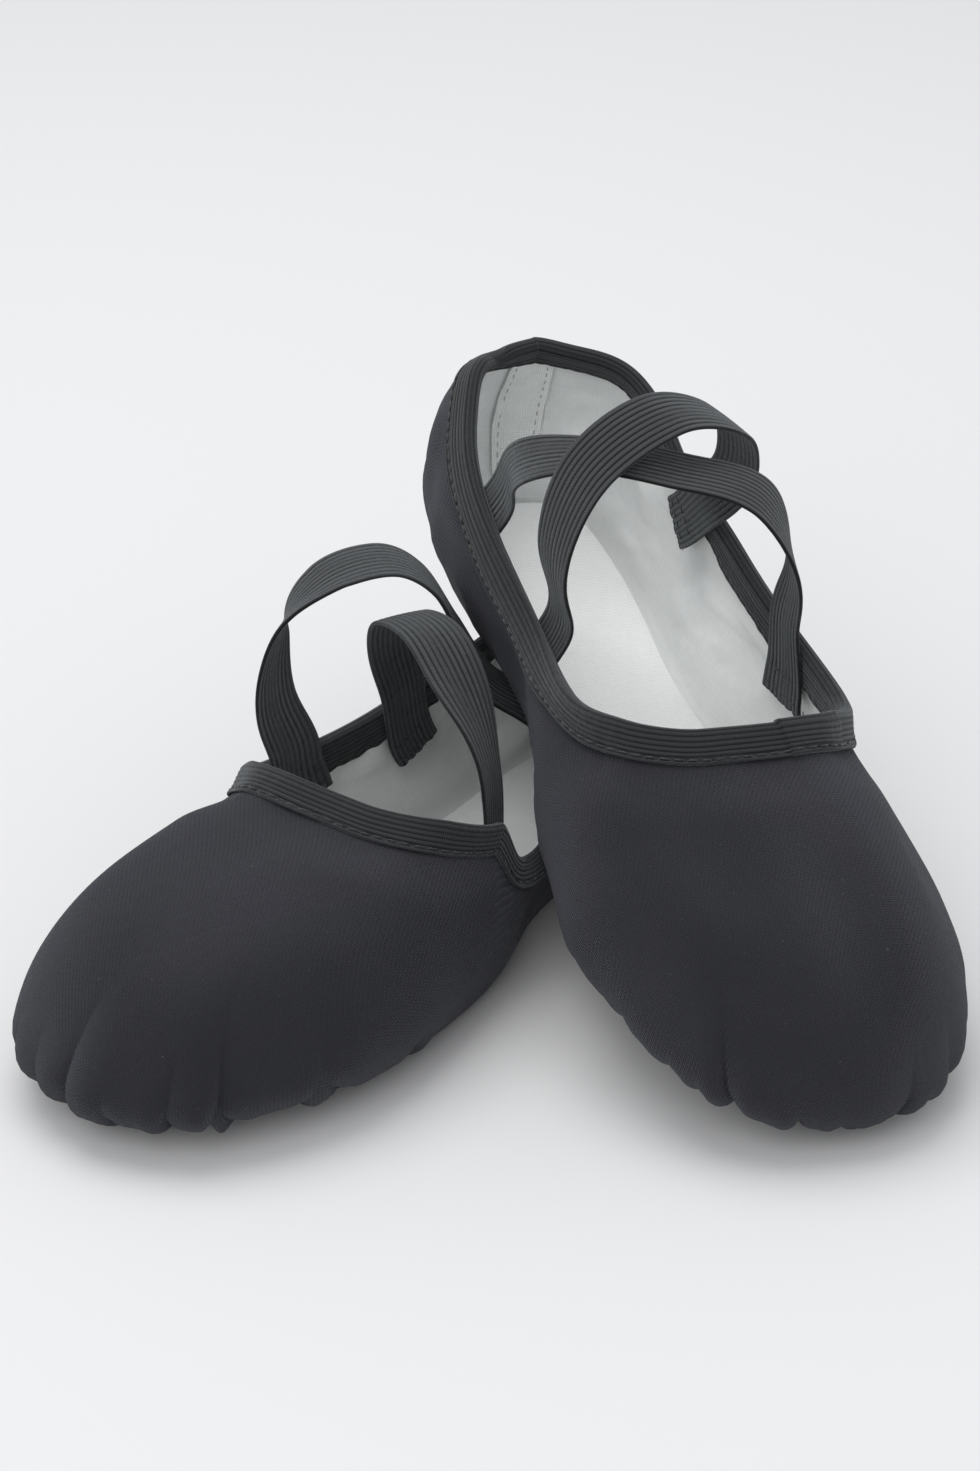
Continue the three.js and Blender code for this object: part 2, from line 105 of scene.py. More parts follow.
# ---- Canvas uppers ----
# Near-black stretch canvas, cut in one piece and closed by a seam up the back of the heel. Round the toe the
# cloth is gathered in small pleats where it turns under the foot and is sewn to the sole.
# Stations run round the slipper from the heel, along the inner side to the toe and back: each gives the sole
# edge, the bulge of the side, the shoulder and the rim, in millimetres. x runs from heel to toe, z up.
stations = np.array([
    [[8, 0, 3], [-2, 0, 24], [-1, 0, 45], [5, -2, 57]],
    [[17, 19, 3], [9, 26, 24], [10, 24, 44], [17, 20, 55.5]],
    [[50, 25, 3], [48, 33, 22], [49, 32, 38], [51, 28, 48]],
    [[98, 25, 3], [97, 34, 22], [98, 34, 36], [97, 33, 45]],
    [[150, 36, 3], [148, 46, 20], [147, 39, 36], [139, 35, 48]],
    [[191, 38, 3], [193, 49, 19], [181, 34, 42], [151, 25, 55]],
    [[222, 30, 3], [230, 35, 18], [210, 27, 45], [154, 12, 57]],
    [[233, 7, 3], [242, 6, 17], [218, 3, 43], [153, -4, 56]],
    [[217, -16, 3], [229, -27, 16], [207, -23, 41], [151, -16, 55]],
    [[184, -34, 3], [188, -45, 18], [174, -40, 40], [144, -27, 53]],
    [[143, -37, 3], [146, -43, 20], [140, -41, 37], [127, -33, 46]],
    [[97, -25, 3], [98, -32, 24], [98, -36, 36], [96, -30, 41]],
    [[49, -27, 3], [48, -37, 22], [47, -36, 37], [48, -31, 46]],
    [[16, -24, 3], [8, -30, 23], [8, -27, 44], [16, -22, 55]],
], float)
station_count = len(stations)
toe_station = station_count / 2

canvas_thickness = 1.0
canvas_bottom = 1.55
cloth_top = 1.2
sole_half_width_at_heel = 18.8
columns_per_station = 32
# Steps between stations where a curve only has to be measured, not shown
coarse_steps, fine_steps = 4, 40

# How the pair lies: the left slipper flat and mirrored, the right one with its heel on the left one's rim
right_turn = np.array([[0.3125, 0.9336, 0.1751], [-0.9075, 0.3479, -0.2355], [-0.2808, -0.0853, 0.9560]])
left_angle = math.radians(-126.9)
left_turn = np.array([[math.cos(left_angle), math.sin(left_angle), 0],
                      [math.sin(left_angle), -math.cos(left_angle), 0], [0, 0, 1]])
right_turn = np.linalg.svd(right_turn)[0] @ np.linalg.svd(right_turn)[2]
lie = {"right": (right_turn, np.array([3, 95, 65.7277])), "left": (left_turn, np.array([53, 69, 0.0]))}
pair_shift = np.array([-0.665132, 18.364573, 0])


def placed(points, side):
    """Points of one slipper, in millimetres, to their place in the pair, in metres."""
    turn, origin = lie[side]
    return (points @ turn.T + origin + pair_shift) / 1000


def unit(v):
    return v / np.linalg.norm(v, axis=-1, keepdims=True)


def run_along(points):
    """Distance from the first point to each point of a line."""
    return np.concatenate([[0], np.cumsum(np.linalg.norm(np.diff(points, axis=0), axis=1))])


def smooth_step(x, low=0.0, high=1.0):
    x = np.clip((x - low) / (high - low), 0, 1)
    return x * x * (3 - 2 * x)


def spline(p0, p1, p2, p3, f):
    return 0.5 * (2 * p1 + (p2 - p0) * f + (2 * p0 - 5 * p1 + 4 * p2 - p3) * f ** 2
                  + (3 * p1 - p0 - 3 * p2 + p3) * f ** 3)


def around(values, t):
    """Smooth closed curve through values, one for each whole number that t passes."""
    t = np.asarray(t, float)
    i = np.floor(t).astype(int)
    f = (t - i).reshape(t.shape + (1,) * (values.ndim - 1))
    n = len(values)
    return spline(values[(i - 1) % n], values[i % n], values[(i + 1) % n], values[(i + 2) % n], f)


edge_line, bulge_line, shoulder_line, rim_line = (stations[:, k] for k in range(4))
coarse_t = np.arange(station_count * coarse_steps) / coarse_steps
fine_t = np.linspace(0, station_count, station_count * fine_steps + 1)
edge_points = around(edge_line, coarse_t)
# Stations, and how far along the bulge of the side each one lies
bulge_run = (fine_t, run_along(around(bulge_line, fine_t)))


def room_under_right(points):
    """Height that the right slipper's underside leaves free over points of the left one."""
    world_points = points @ left_turn.T + lie["left"][1]
    local = (world_points - lie["right"][1]) @ right_turn
    below = (local * (1, 1, 0) @ right_turn.T + lie["right"][1])[:, 2]
    count = len(edge_points) // 2 + 1
    inner_width, outer_width = (
        np.abs(np.interp(local[:, 0], line[:count, 0], line[:count, 1], sole_half_width_at_heel, 0))
        for line in (edge_points, np.roll(edge_points[::-1], 1, 0)))
    half_width = np.where(local[:, 1] >= 0, inner_width, outer_width)
    outside = np.maximum.reduce([np.zeros(len(local)), np.abs(local[:, 1]) - half_width, -local[:, 0]])
    return below - 2.1 + np.maximum(0, np.minimum(outside, 10) - 5) * 1.2 + np.maximum(0, outside - 10) * 4


grid_columns = station_count * columns_per_station
grid_rows = 120
back_seam_stitch_line = 4.6


def facing_in(points):
    """Inward normals of a wall given as columns of points."""
    along = np.roll(points, -1, 0) - np.roll(points, 1, 0)
    return unit(np.cross(np.gradient(points, axis=1), along))


def make_wall(side):
    """The outer face of one slipper's side, as even rows from the rim down to the sole edge."""
    t = np.arange(grid_columns) / columns_per_station
    edge, bulge, shoulder, rim = (around(line, t) for line in (edge_line, bulge_line, shoulder_line, rim_line))
    if side == "left":
        # Pressed down under the right slipper, and slumped a little on the inner side
        coarse_rim = around(rim_line, coarse_t)
        slump = 1 - 0.1 * np.exp(-((coarse_t - 3.4) / 1.2) ** 2)
        squeeze = np.minimum(slump, room_under_right(coarse_rim) / coarse_rim[:, 2])
        squeeze = np.minimum(1, around(squeeze, t * coarse_steps))
        for line in (edge, bulge, shoulder, rim):
            line[:, 2] *= squeeze
        edge[:, 2] = np.maximum(edge[:, 2], canvas_bottom + canvas_thickness)
    controls = [2 * rim - shoulder, rim, shoulder, bulge, edge, edge + (edge - bulge) * (1.2, 1.2, 0.1)]
    q = np.linspace(0, 3, grid_rows + 1)
    spans = [(min(int(x), 2), x) for x in q]
    fine = np.stack([spline(*controls[k:k + 4], x - k) for k, x in spans], 1)
    lengths = np.concatenate([np.zeros((grid_columns, 1)),
                              np.cumsum(np.linalg.norm(np.diff(fine, axis=1), axis=2), 1)], 1)
    total = lengths[:, -1]
    share = np.linspace(0, 1, grid_rows + 1)
    points = np.stack([[np.interp(share * total[c], lengths[c], fine[c, :, k]) for k in range(3)]
                       for c in range(grid_columns)]).transpose(0, 2, 1)
    height = np.stack([3 - np.interp(share * total[c], lengths[c], q) for c in range(grid_columns)])
    # The binding is sewn on stretched, so it draws the cloth in and the vamp puffs out below it
    depth = share * total[:, None]
    drawn = smooth_step(depth, 0, 9) * (1 - smooth_step(depth, 9.5, 27))
    drawn_in = ([0, 3.6, 5, 5.6, 8.6, 9.3, 10.4, 14], [0.7, 0.9, 3.2, 2.4, 2.4, 2.8, 0.9, 0.7])
    drawn = drawn * np.interp(t, *drawn_in)[:, None]
    round_heel = smooth_step(t, 10.6, 12) + 1 - smooth_step(t, 1.6, 3)
    wobble = ripples(t * 27, t * 0, 91 if side == "left" else 95, 24) * round_heel
    drawn = drawn + (0.6 if side == "left" else 1.1) * wobble[:, None] * (1 - smooth_step(depth, 4, 24))
    points = points + facing_in(points) * drawn[..., None]
    return {"points": points, "normals": facing_in(points), "total": total, "height": height}


def look_up(wall, key, t, depth):
    """A value of the wall between its grid points."""
    c = (np.asarray(t, float) * columns_per_station) % grid_columns
    c0 = np.floor(c).astype(int)
    fc = c - c0
    c0, c1 = c0 % grid_columns, (c0 + 1) % grid_columns
    total = wall["total"][c0] * (1 - fc) + wall["total"][c1] * fc
    if key == "total":
        return total
    r = np.clip(depth / total, 0, 1) * grid_rows
    r0 = np.minimum(np.floor(r).astype(int), grid_rows - 1)
    fr = r - r0
    grid = wall[key]
    if grid.ndim == 3:
        fc, fr = fc[..., None], fr[..., None]
    return ((grid[c0, r0] * (1 - fc) + grid[c1, r0] * fc) * (1 - fr)
            + (grid[c0, r0 + 1] * (1 - fc) + grid[c1, r0 + 1] * fc) * fr)


def on_wall(wall, t, depth, offset):
    """Points a depth below the rim and an offset inwards from the canvas's outer face."""
    t, depth, offset = np.broadcast_arrays(*(np.asarray(each, float) for each in (t, depth, offset)))
    return look_up(wall, "points", t, depth) + look_up(wall, "normals", t, depth) * offset[..., None]


def pattern_place(t, depth):
    """Where a point of the wall lies on the flat cloth, in metres, so that the weave follows the cut."""
    angle = np.radians(np.interp(t, [2, 3.2, 7, 10.8, 12], [90, 90, 0, -90, -90]))
    rim = around(rim_line, t)
    front = np.stack([rim[..., 0] + np.cos(angle) * depth, rim[..., 1] + np.sin(angle) * depth], -1)
    run = run_along(around(rim_line, fine_t))
    here = np.interp(t, fine_t, run)
    t = np.asarray(t)[..., None]
    flat = front
    for station, sign in ((12, -1), (2, 1)):
        x = rim_line[station, 0] - sign * (np.interp(station, fine_t, run) - here)
        quarter = np.stack([x, rim_line[station, 1] + sign * depth], -1)
        flat = np.where(sign * (t - station) < 0, quarter, flat)
    return flat / 1000


def seed_for(side, number):
    """Each slipper has its own random numbers."""
    return number + (side == "right")


def ripples(u, v, seed, wavelength, count=7):
    """Soft seeded unevenness between about -1 and 1."""
    rng = np.random.default_rng(seed)
    total = np.zeros(np.shape(u))
    for _ in range(count):
        angle, phase = rng.uniform(0, math.pi), rng.uniform(0, 2 * math.pi)
        k = 2 * math.pi / (wavelength * rng.uniform(0.7, 1.5))
        total += np.sin(k * (np.cos(angle) * u + np.sin(angle) * v) + phase)
    return total / math.sqrt(count) * 0.8


class Cloth:
    """A closed mesh built up from grids of points, with a place on the flat cloth for each corner."""

    def __init__(self):
        self.points, self.uv, self.faces, self.corners, self.marks, self.count = [], [], [], [], [], 0

    def grid(self, points, uv, closed, flip=False, mark=None):
        rows, columns = points.shape[:2]
        index = self.count + np.arange(rows * columns).reshape(rows, columns)
        self.points.append(points.reshape(-1, 3))
        self.uv.append(uv[:, :columns].reshape(-1, 2))
        self.marks.append(np.zeros(rows * columns) if mark is None else mark.ravel())
        self.count += rows * columns
        ahead = np.concatenate([index, index[:, :1]], 1) if closed else index
        ahead_uv = uv if uv.shape[1] == ahead.shape[1] else np.concatenate([uv, uv[:, :1]], 1)
        picks = [(slice(None, -1), slice(None, -1)), (slice(None, -1), slice(1, None)),
                 (slice(1, None), slice(1, None)), (slice(1, None), slice(None, -1))]
        if flip:
            picks.reverse()
        self.faces.append(np.stack([ahead[p].ravel() for p in picks], 1))
        self.corners.append(np.stack([ahead_uv[p].reshape(-1, 2) for p in picks], 1))
        return index

    def bridge(self, first, second, closed):
        """Faces between two lines of points that are already in the mesh."""
        if closed:
            first, second = np.append(first, first[0]), np.append(second, second[0])
        faces = np.stack([first[:-1], second[:-1], second[1:], first[1:]], 1)
        self.faces.append(faces)
        self.corners.append(np.concatenate(self.uv)[faces])

    def piece(self, name, side, material, merge=0.0):
        points = placed(np.concatenate(self.points), side)
        faces, corners = np.concatenate(self.faces), np.concatenate(self.corners)
        if side == "left":
            faces, corners = faces[:, ::-1], corners[:, ::-1]
        mesh = bpy.data.meshes.new(name)
        mesh.from_pydata(points.tolist(), [], faces.tolist())
        mesh.uv_layers.new(name="cloth").data.foreach_set("uv", corners.reshape(-1).astype(np.float32))
        # Each point's mark of painted shade, kept as an attribute that darkens the cloth's colour
        marks = np.concatenate(self.marks)
        mesh.attributes.new("painted_shade", "FLOAT", "POINT").data.foreach_set("value", marks.astype(np.float32))
        if merge:
            work = bmesh.new()
            work.from_mesh(mesh)
            bmesh.ops.remove_doubles(work, verts=work.verts, dist=merge)
            work.to_mesh(mesh)
            work.free()
        mesh.shade_smooth()
        mesh.materials.append(material)
        thing = bpy.data.objects.new(name, mesh)
        bpy.context.scene.collection.objects.link(thing)
        return thing


def both_halves(half):
    """Stations from the heel to the toe and back, the outer side the mirror of the inner one."""
    return np.concatenate([[0], half, [toe_station], station_count - half[::-1]])


def shell(name, side, material, skin, normals, thickness, uv, mark):
    """A cloth of even thickness, closed along its top edge."""
    cloth = Cloth()
    outer = cloth.grid(skin, uv, True, mark=mark)
    inner = cloth.grid(skin + normals * thickness, uv, True, flip=True, mark=mark)
    cloth.bridge(outer[0], inner[0], True)
    return cloth.piece(name, side, material, merge=2e-6)


def bag_grid(wall, t, turn_rows):
    """Rows of a foot-shaped bag, from its top edge down the wall, round the sole edge and in to the middle."""
    wall_rows, floor_rows = 52, 5
    total = look_up(wall, "total", t, 0)
    depth = cloth_top + (total - cloth_top) * np.linspace(0, 1, wall_rows)[:, None]
    points = on_wall(wall, t, depth, 0)
    normals = unit(look_up(wall, "normals", np.broadcast_to(t, depth.shape), depth))
    height = look_up(wall, "height", np.broadcast_to(t, depth.shape), depth)
    edge, last_normal = points[-1], normals[-1]
    middle = edge * (0.88, 0, 0) + (0.12 * 122, 0, 0)
    under = edge + (middle - edge) * 0.14
    under[:, 2] = canvas_bottom
    corner = edge + (under - edge) * 0.3
    corner[:, 2] = canvas_bottom
    up = np.array([0, 0, 1.0])
    across = np.concatenate([under[:1], under[:0:-1]])
    more = []
    for f in (k / turn_rows for k in range(1, turn_rows + 1)):
        more.append(((1 - f) ** 2 * edge + 2 * f * (1 - f) * corner + f * f * under,
                     unit(last_normal * (1 - f) + up * f), -f))
    for f in (k / floor_rows for k in range(1, floor_rows + 1)):
        more.append((under * (1 - f / 2) + across * f / 2, np.tile(up, (len(t), 1)), -1 - f))
    for row, row_normals, level in more:
        depth = np.concatenate([depth, [depth[-1] + np.linalg.norm(row - points[-1], axis=1)]])
        points, normals = np.concatenate([points, [row]]), np.concatenate([normals, [row_normals]])
        height = np.concatenate([height, [np.full(len(t), level)]])
    seam_t = np.append(t, station_count)
    uv = pattern_place(np.broadcast_to(seam_t, (len(height), len(seam_t))),
                       np.concatenate([depth, depth[:, :1]], 1))
    return points, normals, height, depth, uv


# Pleats round the toe: station at the sole edge, how high they reach (1 is the bulge of the side), how deep
# and wide they are, in millimetres, and how far they lean over, in stations
pleats = {
    "left": [(6.92, 1.75, 2.6, 2.6, 0.03), (6.55, 1.35, 1.8, 2.2, 0.05), (7.38, 1.0, 2.2, 1.8, -0.10),
             (7.74, 1.45, 2.9, 2.0, -0.04), (7.99, 1.2, 2.4, 1.5, 0.02), (8.20, 2.0, 2.2, 2.4, -0.16),
             (8.48, 1.0, 1.6, 1.8, 0.10), (8.84, 1.5, 1.9, 3.2, -0.22), (9.30, 0.8, 1.2, 2.4, 0.1),
             (6.20, 1.3, 1.8, 2.2, 0.05), (5.80, 1.0, 1.5, 2.0, -0.05), (5.40, 1.1, 1.7, 2.2, 0.08),
             (4.95, 0.8, 1.3, 2.0, 0.0)],
    "right": [(8.32, 1.1, 1.7, 2.6, 0.02), (8.10, 1.05, 2.2, 1.6, 0.03), (7.84, 1.7, 3.4, 2.0, 0.10),
              (7.47, 1.15, 2.6, 1.8, 0.0), (7.12, 0.9, 1.6, 1.9, 0.06), (6.66, 1.35, 2.8, 1.9, -0.03),
              (6.40, 1.0, 1.5, 1.8, 0.04), (6.12, 1.45, 2.4, 2.2, 0.06), (5.78, 1.1, 1.7, 2.0, -0.04),
              (5.45, 1.2, 1.5, 2.0, 0.05), (5.05, 0.9, 1.3, 2.2, 0.05), (8.72, 0.9, 1.3, 2.2, -0.05),
              (9.15, 0.8, 1.1, 2.4, 0.0)],
}


def gathers(side, t, height):
    """How far the canvas stands out (or, below zero, is drawn in) at its pleats, in millimetres."""
    place_mm = np.interp(t, *bulge_run)
    toe_part = smooth_step(t, 4.5, 5.4) * (1 - smooth_step(t, 8.9, 9.9))
    out = 0.9 * toe_part * np.exp(-((height - 0.35) / 0.75) ** 2)
    drawn = np.zeros(np.broadcast(t, height).shape)
    for station, reach, depth, width, lean in pleats[side]:
        leaning = lean * np.clip(height, 0, None)
        x = place_mm - np.interp(station + leaning, *bulge_run)
        fade = 0.45 + 0.55 * smooth_step(height, -0.1, 0.35)
        fade = fade * (1 - smooth_step(height, 0.2 * reach, 1.1 * reach))
        fan = width * (0.65 + 0.75 * np.clip(height, 0, None))
        steep = np.where((x > 0) == (lean >= 0), 0.4, 1.1)
        drawn = drawn + 1.25 * depth * fade * np.exp(-np.abs(x) / (fan * steep))
        puffed = np.where(steep < 1, 0.8, 0.35)
        out = out + puffed * fade * np.exp(-((np.abs(x) - fan * 1.7) / (fan * 1.2)) ** 2)
    soft = ripples(place_mm + 0 * height, height * 14, seed_for(side, 13), 24, 5)
    out = out + 0.7 * toe_part * soft * np.exp(-((height - 0.75) / 0.65) ** 2)
    rng = np.random.default_rng(seed_for(side, 11))
    for station in np.arange(4.6, 9.7, 0.17):
        station = station + rng.uniform(-0.05, 0.05)
        x = place_mm - np.interp(station, *bulge_run)
        fade = (1 - smooth_step(height, 0.0, rng.uniform(0.4, 1.1))) * rng.uniform(0.3, 1.1)
        drawn = drawn + fade * np.exp(-np.abs(x) / rng.uniform(0.7, 1.3))
    under = 1 - smooth_step(-height, 0.1, 1.0) * 0.75
    inner = np.where(height < -1, 1 - smooth_step(-height, 1.0, 1.25), 1)
    return (out * np.where(height < 0, 1 + height * 0.9, 1) - drawn * under) * np.clip(inner, 0, 1)


# Dents: station, height, half length, depth in millimetres (below zero, a swelling) and half height. Lengths
# are in stations; heights go from 0 at the sole edge to 3 at the rim
hollows = {
    "left": [(11.0, 1.0, 0.55, 1.6, 0.9), (9.9, 1.4, 0.5, 0.9, 0.5), (3.2, 1.2, 0.7, 1.2, 0.5),
             (7.6, 2.25, 1.0, -0.5, 0.6)],
    "right": [(7.6, 2.35, 0.9, 1.3, 0.45), (12.7, 1.1, 0.45, 1.7, 0.8), (12.1, 1.6, 0.25, -1.0, 0.6),
              (11.3, 1.2, 0.5, 1.2, 0.8), (6.2, 1.9, 0.7, -0.6, 0.6)],
}


def slack(side, t, height, u, v):
    """The broad unevenness of an unworn slipper: dents, soft waves and the seam up the back."""
    out = 0.45 * ripples(u * 1000, v * 1000, seed_for(side, 21), 46)
    quarters = 1 - smooth_step(t, 3.4, 4.6) * (1 - smooth_step(t, 9.6, 10.8))
    out = out + 0.6 * quarters * ripples(u * 1000, v * 1000, seed_for(side, 31), 15)
    for station, level, reach, depth, tall in hollows[side]:
        out = out - depth * np.exp(-((t - station) / reach) ** 2 - ((height - level) / tall) ** 2)
    calm = smooth_step(height, -0.2, 0.5) * (1 - smooth_step(height, 2.55, 2.9))
    from_back = np.interp(np.minimum(t, station_count - t), *bulge_run)
    calm = calm * smooth_step(from_back, 6, 20)
    seam = -0.55 * np.exp(-(from_back / 0.55) ** 2) + 0.22 * np.exp(-((from_back - 2.0) / 1.2) ** 2)
    sewn = -0.16 * np.exp(-((from_back - back_seam_stitch_line) / 0.5) ** 2)
    return out * calm + (seam + sewn) * smooth_step(height, 0.05, 0.5)


def feed(tree, socket, source):
    """Link a socket to another one, or give it a fixed value."""
    if isinstance(source, bpy.types.NodeSocket):
        tree.links.new(source, socket)
    else:
        socket.default_value = source


def value_node(tree, operation, *inputs, clamp=False):
    node = tree.nodes.new("ShaderNodeMath")
    node.operation = operation
    node.use_clamp = clamp
    for socket, source in zip(node.inputs, inputs):
        feed(tree, socket, source)
    return node.outputs[0]


def mixed_colour(tree, share, first, second):
    node = tree.nodes.new("ShaderNodeMix")
    node.data_type = "RGBA"
    for label, source in (("Factor", share), ("A", first), ("B", second)):
        feed(tree, node.inputs[label], source)
    return node.outputs["Result"]


def new_group(name, inputs, outputs):
    group = bpy.data.node_groups.new(name, "ShaderNodeTree")
    for label, kind, value in inputs:
        socket = group.interface.new_socket(name=label, in_out="INPUT", socket_type=kind)
        if value is not None:
            socket.default_value = value
    for label, kind in outputs:
        group.interface.new_socket(name=label, in_out="OUTPUT", socket_type=kind)
    return group, group.nodes.new("NodeGroupInput").outputs, group.nodes.new("NodeGroupOutput").inputs


def thread_round(tree, place):
    """Rounded threads side by side, one for each whole number of place: 0 between two of them, 1 on top."""
    return value_node(tree, "ABSOLUTE", value_node(tree, "SINE", value_node(tree, "MULTIPLY", place, math.pi)))


def noise_node(tree, vector, scale, detail, stretch=(1, 1, 1)):
    mapping = tree.nodes.new("ShaderNodeMapping")
    mapping.inputs["Scale"].default_value = stretch
    noise = tree.nodes.new("ShaderNodeTexNoise")
    noise.inputs["Detail"].default_value = detail
    tree.links.new(vector, mapping.inputs["Vector"])
    tree.links.new(mapping.outputs["Vector"], noise.inputs["Vector"])
    noise.inputs["Scale"].default_value = scale
    return noise.outputs["Fac"]


# Over-and-under threads: Repeat 2 gives a plain weave and Repeat 3 a twill
weave, given, put = new_group(
    "thread_weave",
    [("Cloth", "NodeSocketVector", None), ("Threads per metre", "NodeSocketFloat", 1800.0),
     ("Repeat", "NodeSocketFloat", 3.0)],
    [("Height", "NodeSocketFloat"), ("Slub", "NodeSocketFloat")])
uneven = noise_node(weave, given["Cloth"], 260, 2)
scaled = weave.nodes.new("ShaderNodeVectorMath")
scaled.operation = "SCALE"
weave.links.new(given["Cloth"], scaled.inputs[0])
weave.links.new(given["Threads per metre"], scaled.inputs["Scale"])
parts = weave.nodes.new("ShaderNodeSeparateXYZ")
weave.links.new(scaled.outputs[0], parts.inputs[0])
warp_place = value_node(weave, "MULTIPLY_ADD", uneven, 1.1, parts.outputs["X"])
weft_place = value_node(weave, "MULTIPLY_ADD", uneven, -1.1, parts.outputs["Y"])
warp_round, weft_round = thread_round(weave, warp_place), thread_round(weave, weft_place)
warp_number, weft_number = (value_node(weave, "FLOOR", place) for place in (warp_place, weft_place))
step_number = value_node(weave, "ADD", warp_number, weft_number)
turn_number = value_node(weave, "FLOORED_MODULO", step_number, given["Repeat"])
warp_on_top = value_node(weave, "LESS_THAN", turn_number, 1.0)
warp_height, weft_height = (
    value_node(weave, "MULTIPLY", one, value_node(weave, "MULTIPLY_ADD", other, 0.45, 0.55))
    for one, other in ((warp_round, weft_round), (weft_round, warp_round)))
warp_over = value_node(weave, "SUBTRACT", warp_height, weft_height)
weave.links.new(value_node(weave, "MULTIPLY_ADD", warp_on_top, warp_over, weft_height), put["Height"])
slub_along, slub_across = (noise_node(weave, given["Cloth"], 1.0, 3, stretch)
                           for stretch in ((190, 1500, 1), (1500, 190, 1)))
slub_half = value_node(weave, "MULTIPLY", slub_across, 0.5)
weave.links.new(value_node(weave, "MULTIPLY_ADD", slub_along, 0.5, slub_half), put["Slub"])

# Uneven dye, a little lint, painted shade in the creases and a painted highlight where the cloth stands out
dye_and_shade, given, put = new_group(
    "dye_and_painted_shade",
    [("Place", "NodeSocketVector", None), ("Colour", "NodeSocketColor", (0.03, 0.03, 0.03, 1)),
     ("Second colour", "NodeSocketColor", (0.04, 0.04, 0.05, 1)), ("Lint", "NodeSocketFloat", 0.3),
     ("Crease", "NodeSocketFloat", 0.0), ("Weave", "NodeSocketFloat", 0.5)],
    [("Colour", "NodeSocketColor"), ("Roughness", "NodeSocketFloat")])
patches = noise_node(dye_and_shade, given["Place"], 22, 3)
patch_share = value_node(dye_and_shade, "MULTIPLY", value_node(dye_and_shade, "SUBTRACT", patches, 0.38), 3.2, clamp=True)
toned = mixed_colour(dye_and_shade, patch_share, given["Colour"], given["Second colour"])
specks = noise_node(dye_and_shade, given["Place"], 950, 2)
speck_share = value_node(dye_and_shade, "MULTIPLY", value_node(dye_and_shade, "SUBTRACT", specks, 0.73, clamp=True), given["Lint"])
lint_share = value_node(dye_and_shade, "MULTIPLY", speck_share, 2.4, clamp=True)
linted = mixed_colour(dye_and_shade, lint_share, toned, (0.32, 0.32, 0.34, 1))
# Painted shade and highlight: the shade mark darkens the colour in creases and rib grooves and, below zero,
# lightens it where the cloth stands out
painted_shade_factor = value_node(dye_and_shade, "MULTIPLY_ADD", given["Crease"], -0.34, 1.0, clamp=True)
# The weave tone is partly the yarns' own unevenness and partly painted shade: thread tops lighter than the gaps
# between them
thread_tone = value_node(dye_and_shade, "MULTIPLY_ADD", given["Weave"], 0.42, 0.76)
shade = dye_and_shade.nodes.new("ShaderNodeVectorMath")
shade.operation = "SCALE"
dye_and_shade.links.new(linted, shade.inputs[0])
dye_and_shade.links.new(value_node(dye_and_shade, "MULTIPLY", painted_shade_factor, thread_tone), shade.inputs["Scale"])
dye_and_shade.links.new(shade.outputs[0], put["Colour"])
dye_and_shade.links.new(value_node(dye_and_shade, "MULTIPLY_ADD", patches, 0.22, 0.74), put["Roughness"])


def placed_group(tree, group, **inputs):
    node = tree.nodes.new("ShaderNodeGroup")
    node.node_tree = group
    for label, source in inputs.items():
        feed(tree, node.inputs[label.replace("_", " ")], source)
    return node.outputs


def fabric_material(name, colours, surface, lint, painted_shade, bump, bump_strength, **shine):
    """A cloth in two uneven tones, with painted shade where its mesh carries a shade mark. surface makes its
    threads or nap and gives back their height and tone.
    """
    material = bpy.data.materials.new(name)
    material.use_nodes = True
    tree = material.node_tree
    shader = tree.nodes["Principled BSDF"].inputs
    coordinates = tree.nodes.new("ShaderNodeTexCoord").outputs
    # This attribute carries painted shade: darkening in creases and rib grooves, and below zero a painted
    # highlight
    marks = tree.nodes.new("ShaderNodeAttribute")
    marks.attribute_name = "painted_shade"
    height, tone = surface(tree, coordinates)
    shade_amount = value_node(tree, "MULTIPLY", marks.outputs["Fac"], painted_shade)
    dyed_and_shaded = placed_group(tree, dye_and_shade, Place=coordinates["Object"], Colour=colours[0], Second_colour=colours[1],
                        Lint=lint, Crease=shade_amount, Weave=tone)
    bumps = tree.nodes.new("ShaderNodeBump")
    bumps.inputs["Strength"].default_value = bump_strength
    bumps.inputs["Distance"].default_value = bump
    for source, socket in ((dyed_and_shaded["Colour"], shader["Base Color"]), (dyed_and_shaded["Roughness"], shader["Roughness"]),
                           (height, bumps.inputs["Height"]), (bumps.outputs["Normal"], shader["Normal"])):
        tree.links.new(source, socket)
    for label, value in shine.items():
        shader[label.replace("_", " ")].default_value = value
    return material


def woven_material(name, colours, threads, repeat, bump, lint, sheen=0.1, sheen_tint=(1, 1, 1, 1), slub=0.35):
    """A woven cloth whose threads follow the piece's own flat pattern."""
    def threads_of(tree, coordinates):
        made = placed_group(tree, weave, Cloth=coordinates["UV"], Threads_per_metre=threads, Repeat=repeat)
        # The tone is partly each thread's own slub and partly painted shade: thread tops lighter than the gaps
        # between them
        tone = value_node(tree, "MULTIPLY_ADD", made["Slub"], slub * 2,
                          value_node(tree, "MULTIPLY", made["Height"], 1 - slub))
        return value_node(tree, "ADD", made["Height"], made["Slub"]), tone

    return fabric_material(name, colours, threads_of, lint, 1.0, bump, 0.9, Specular_IOR_Level=0.25,
                           Sheen_Weight=sheen, Sheen_Roughness=0.45, Sheen_Tint=sheen_tint)


canvas_cloth = woven_material("canvas_cloth", ((0.0135, 0.0138, 0.0172, 1), (0.0200, 0.0201, 0.0252, 1)),
                              1750.0, 3.0, 0.00024, 0.8, slub=0.5, sheen=0.15, sheen_tint=(0.82, 0.84, 0.97, 1))

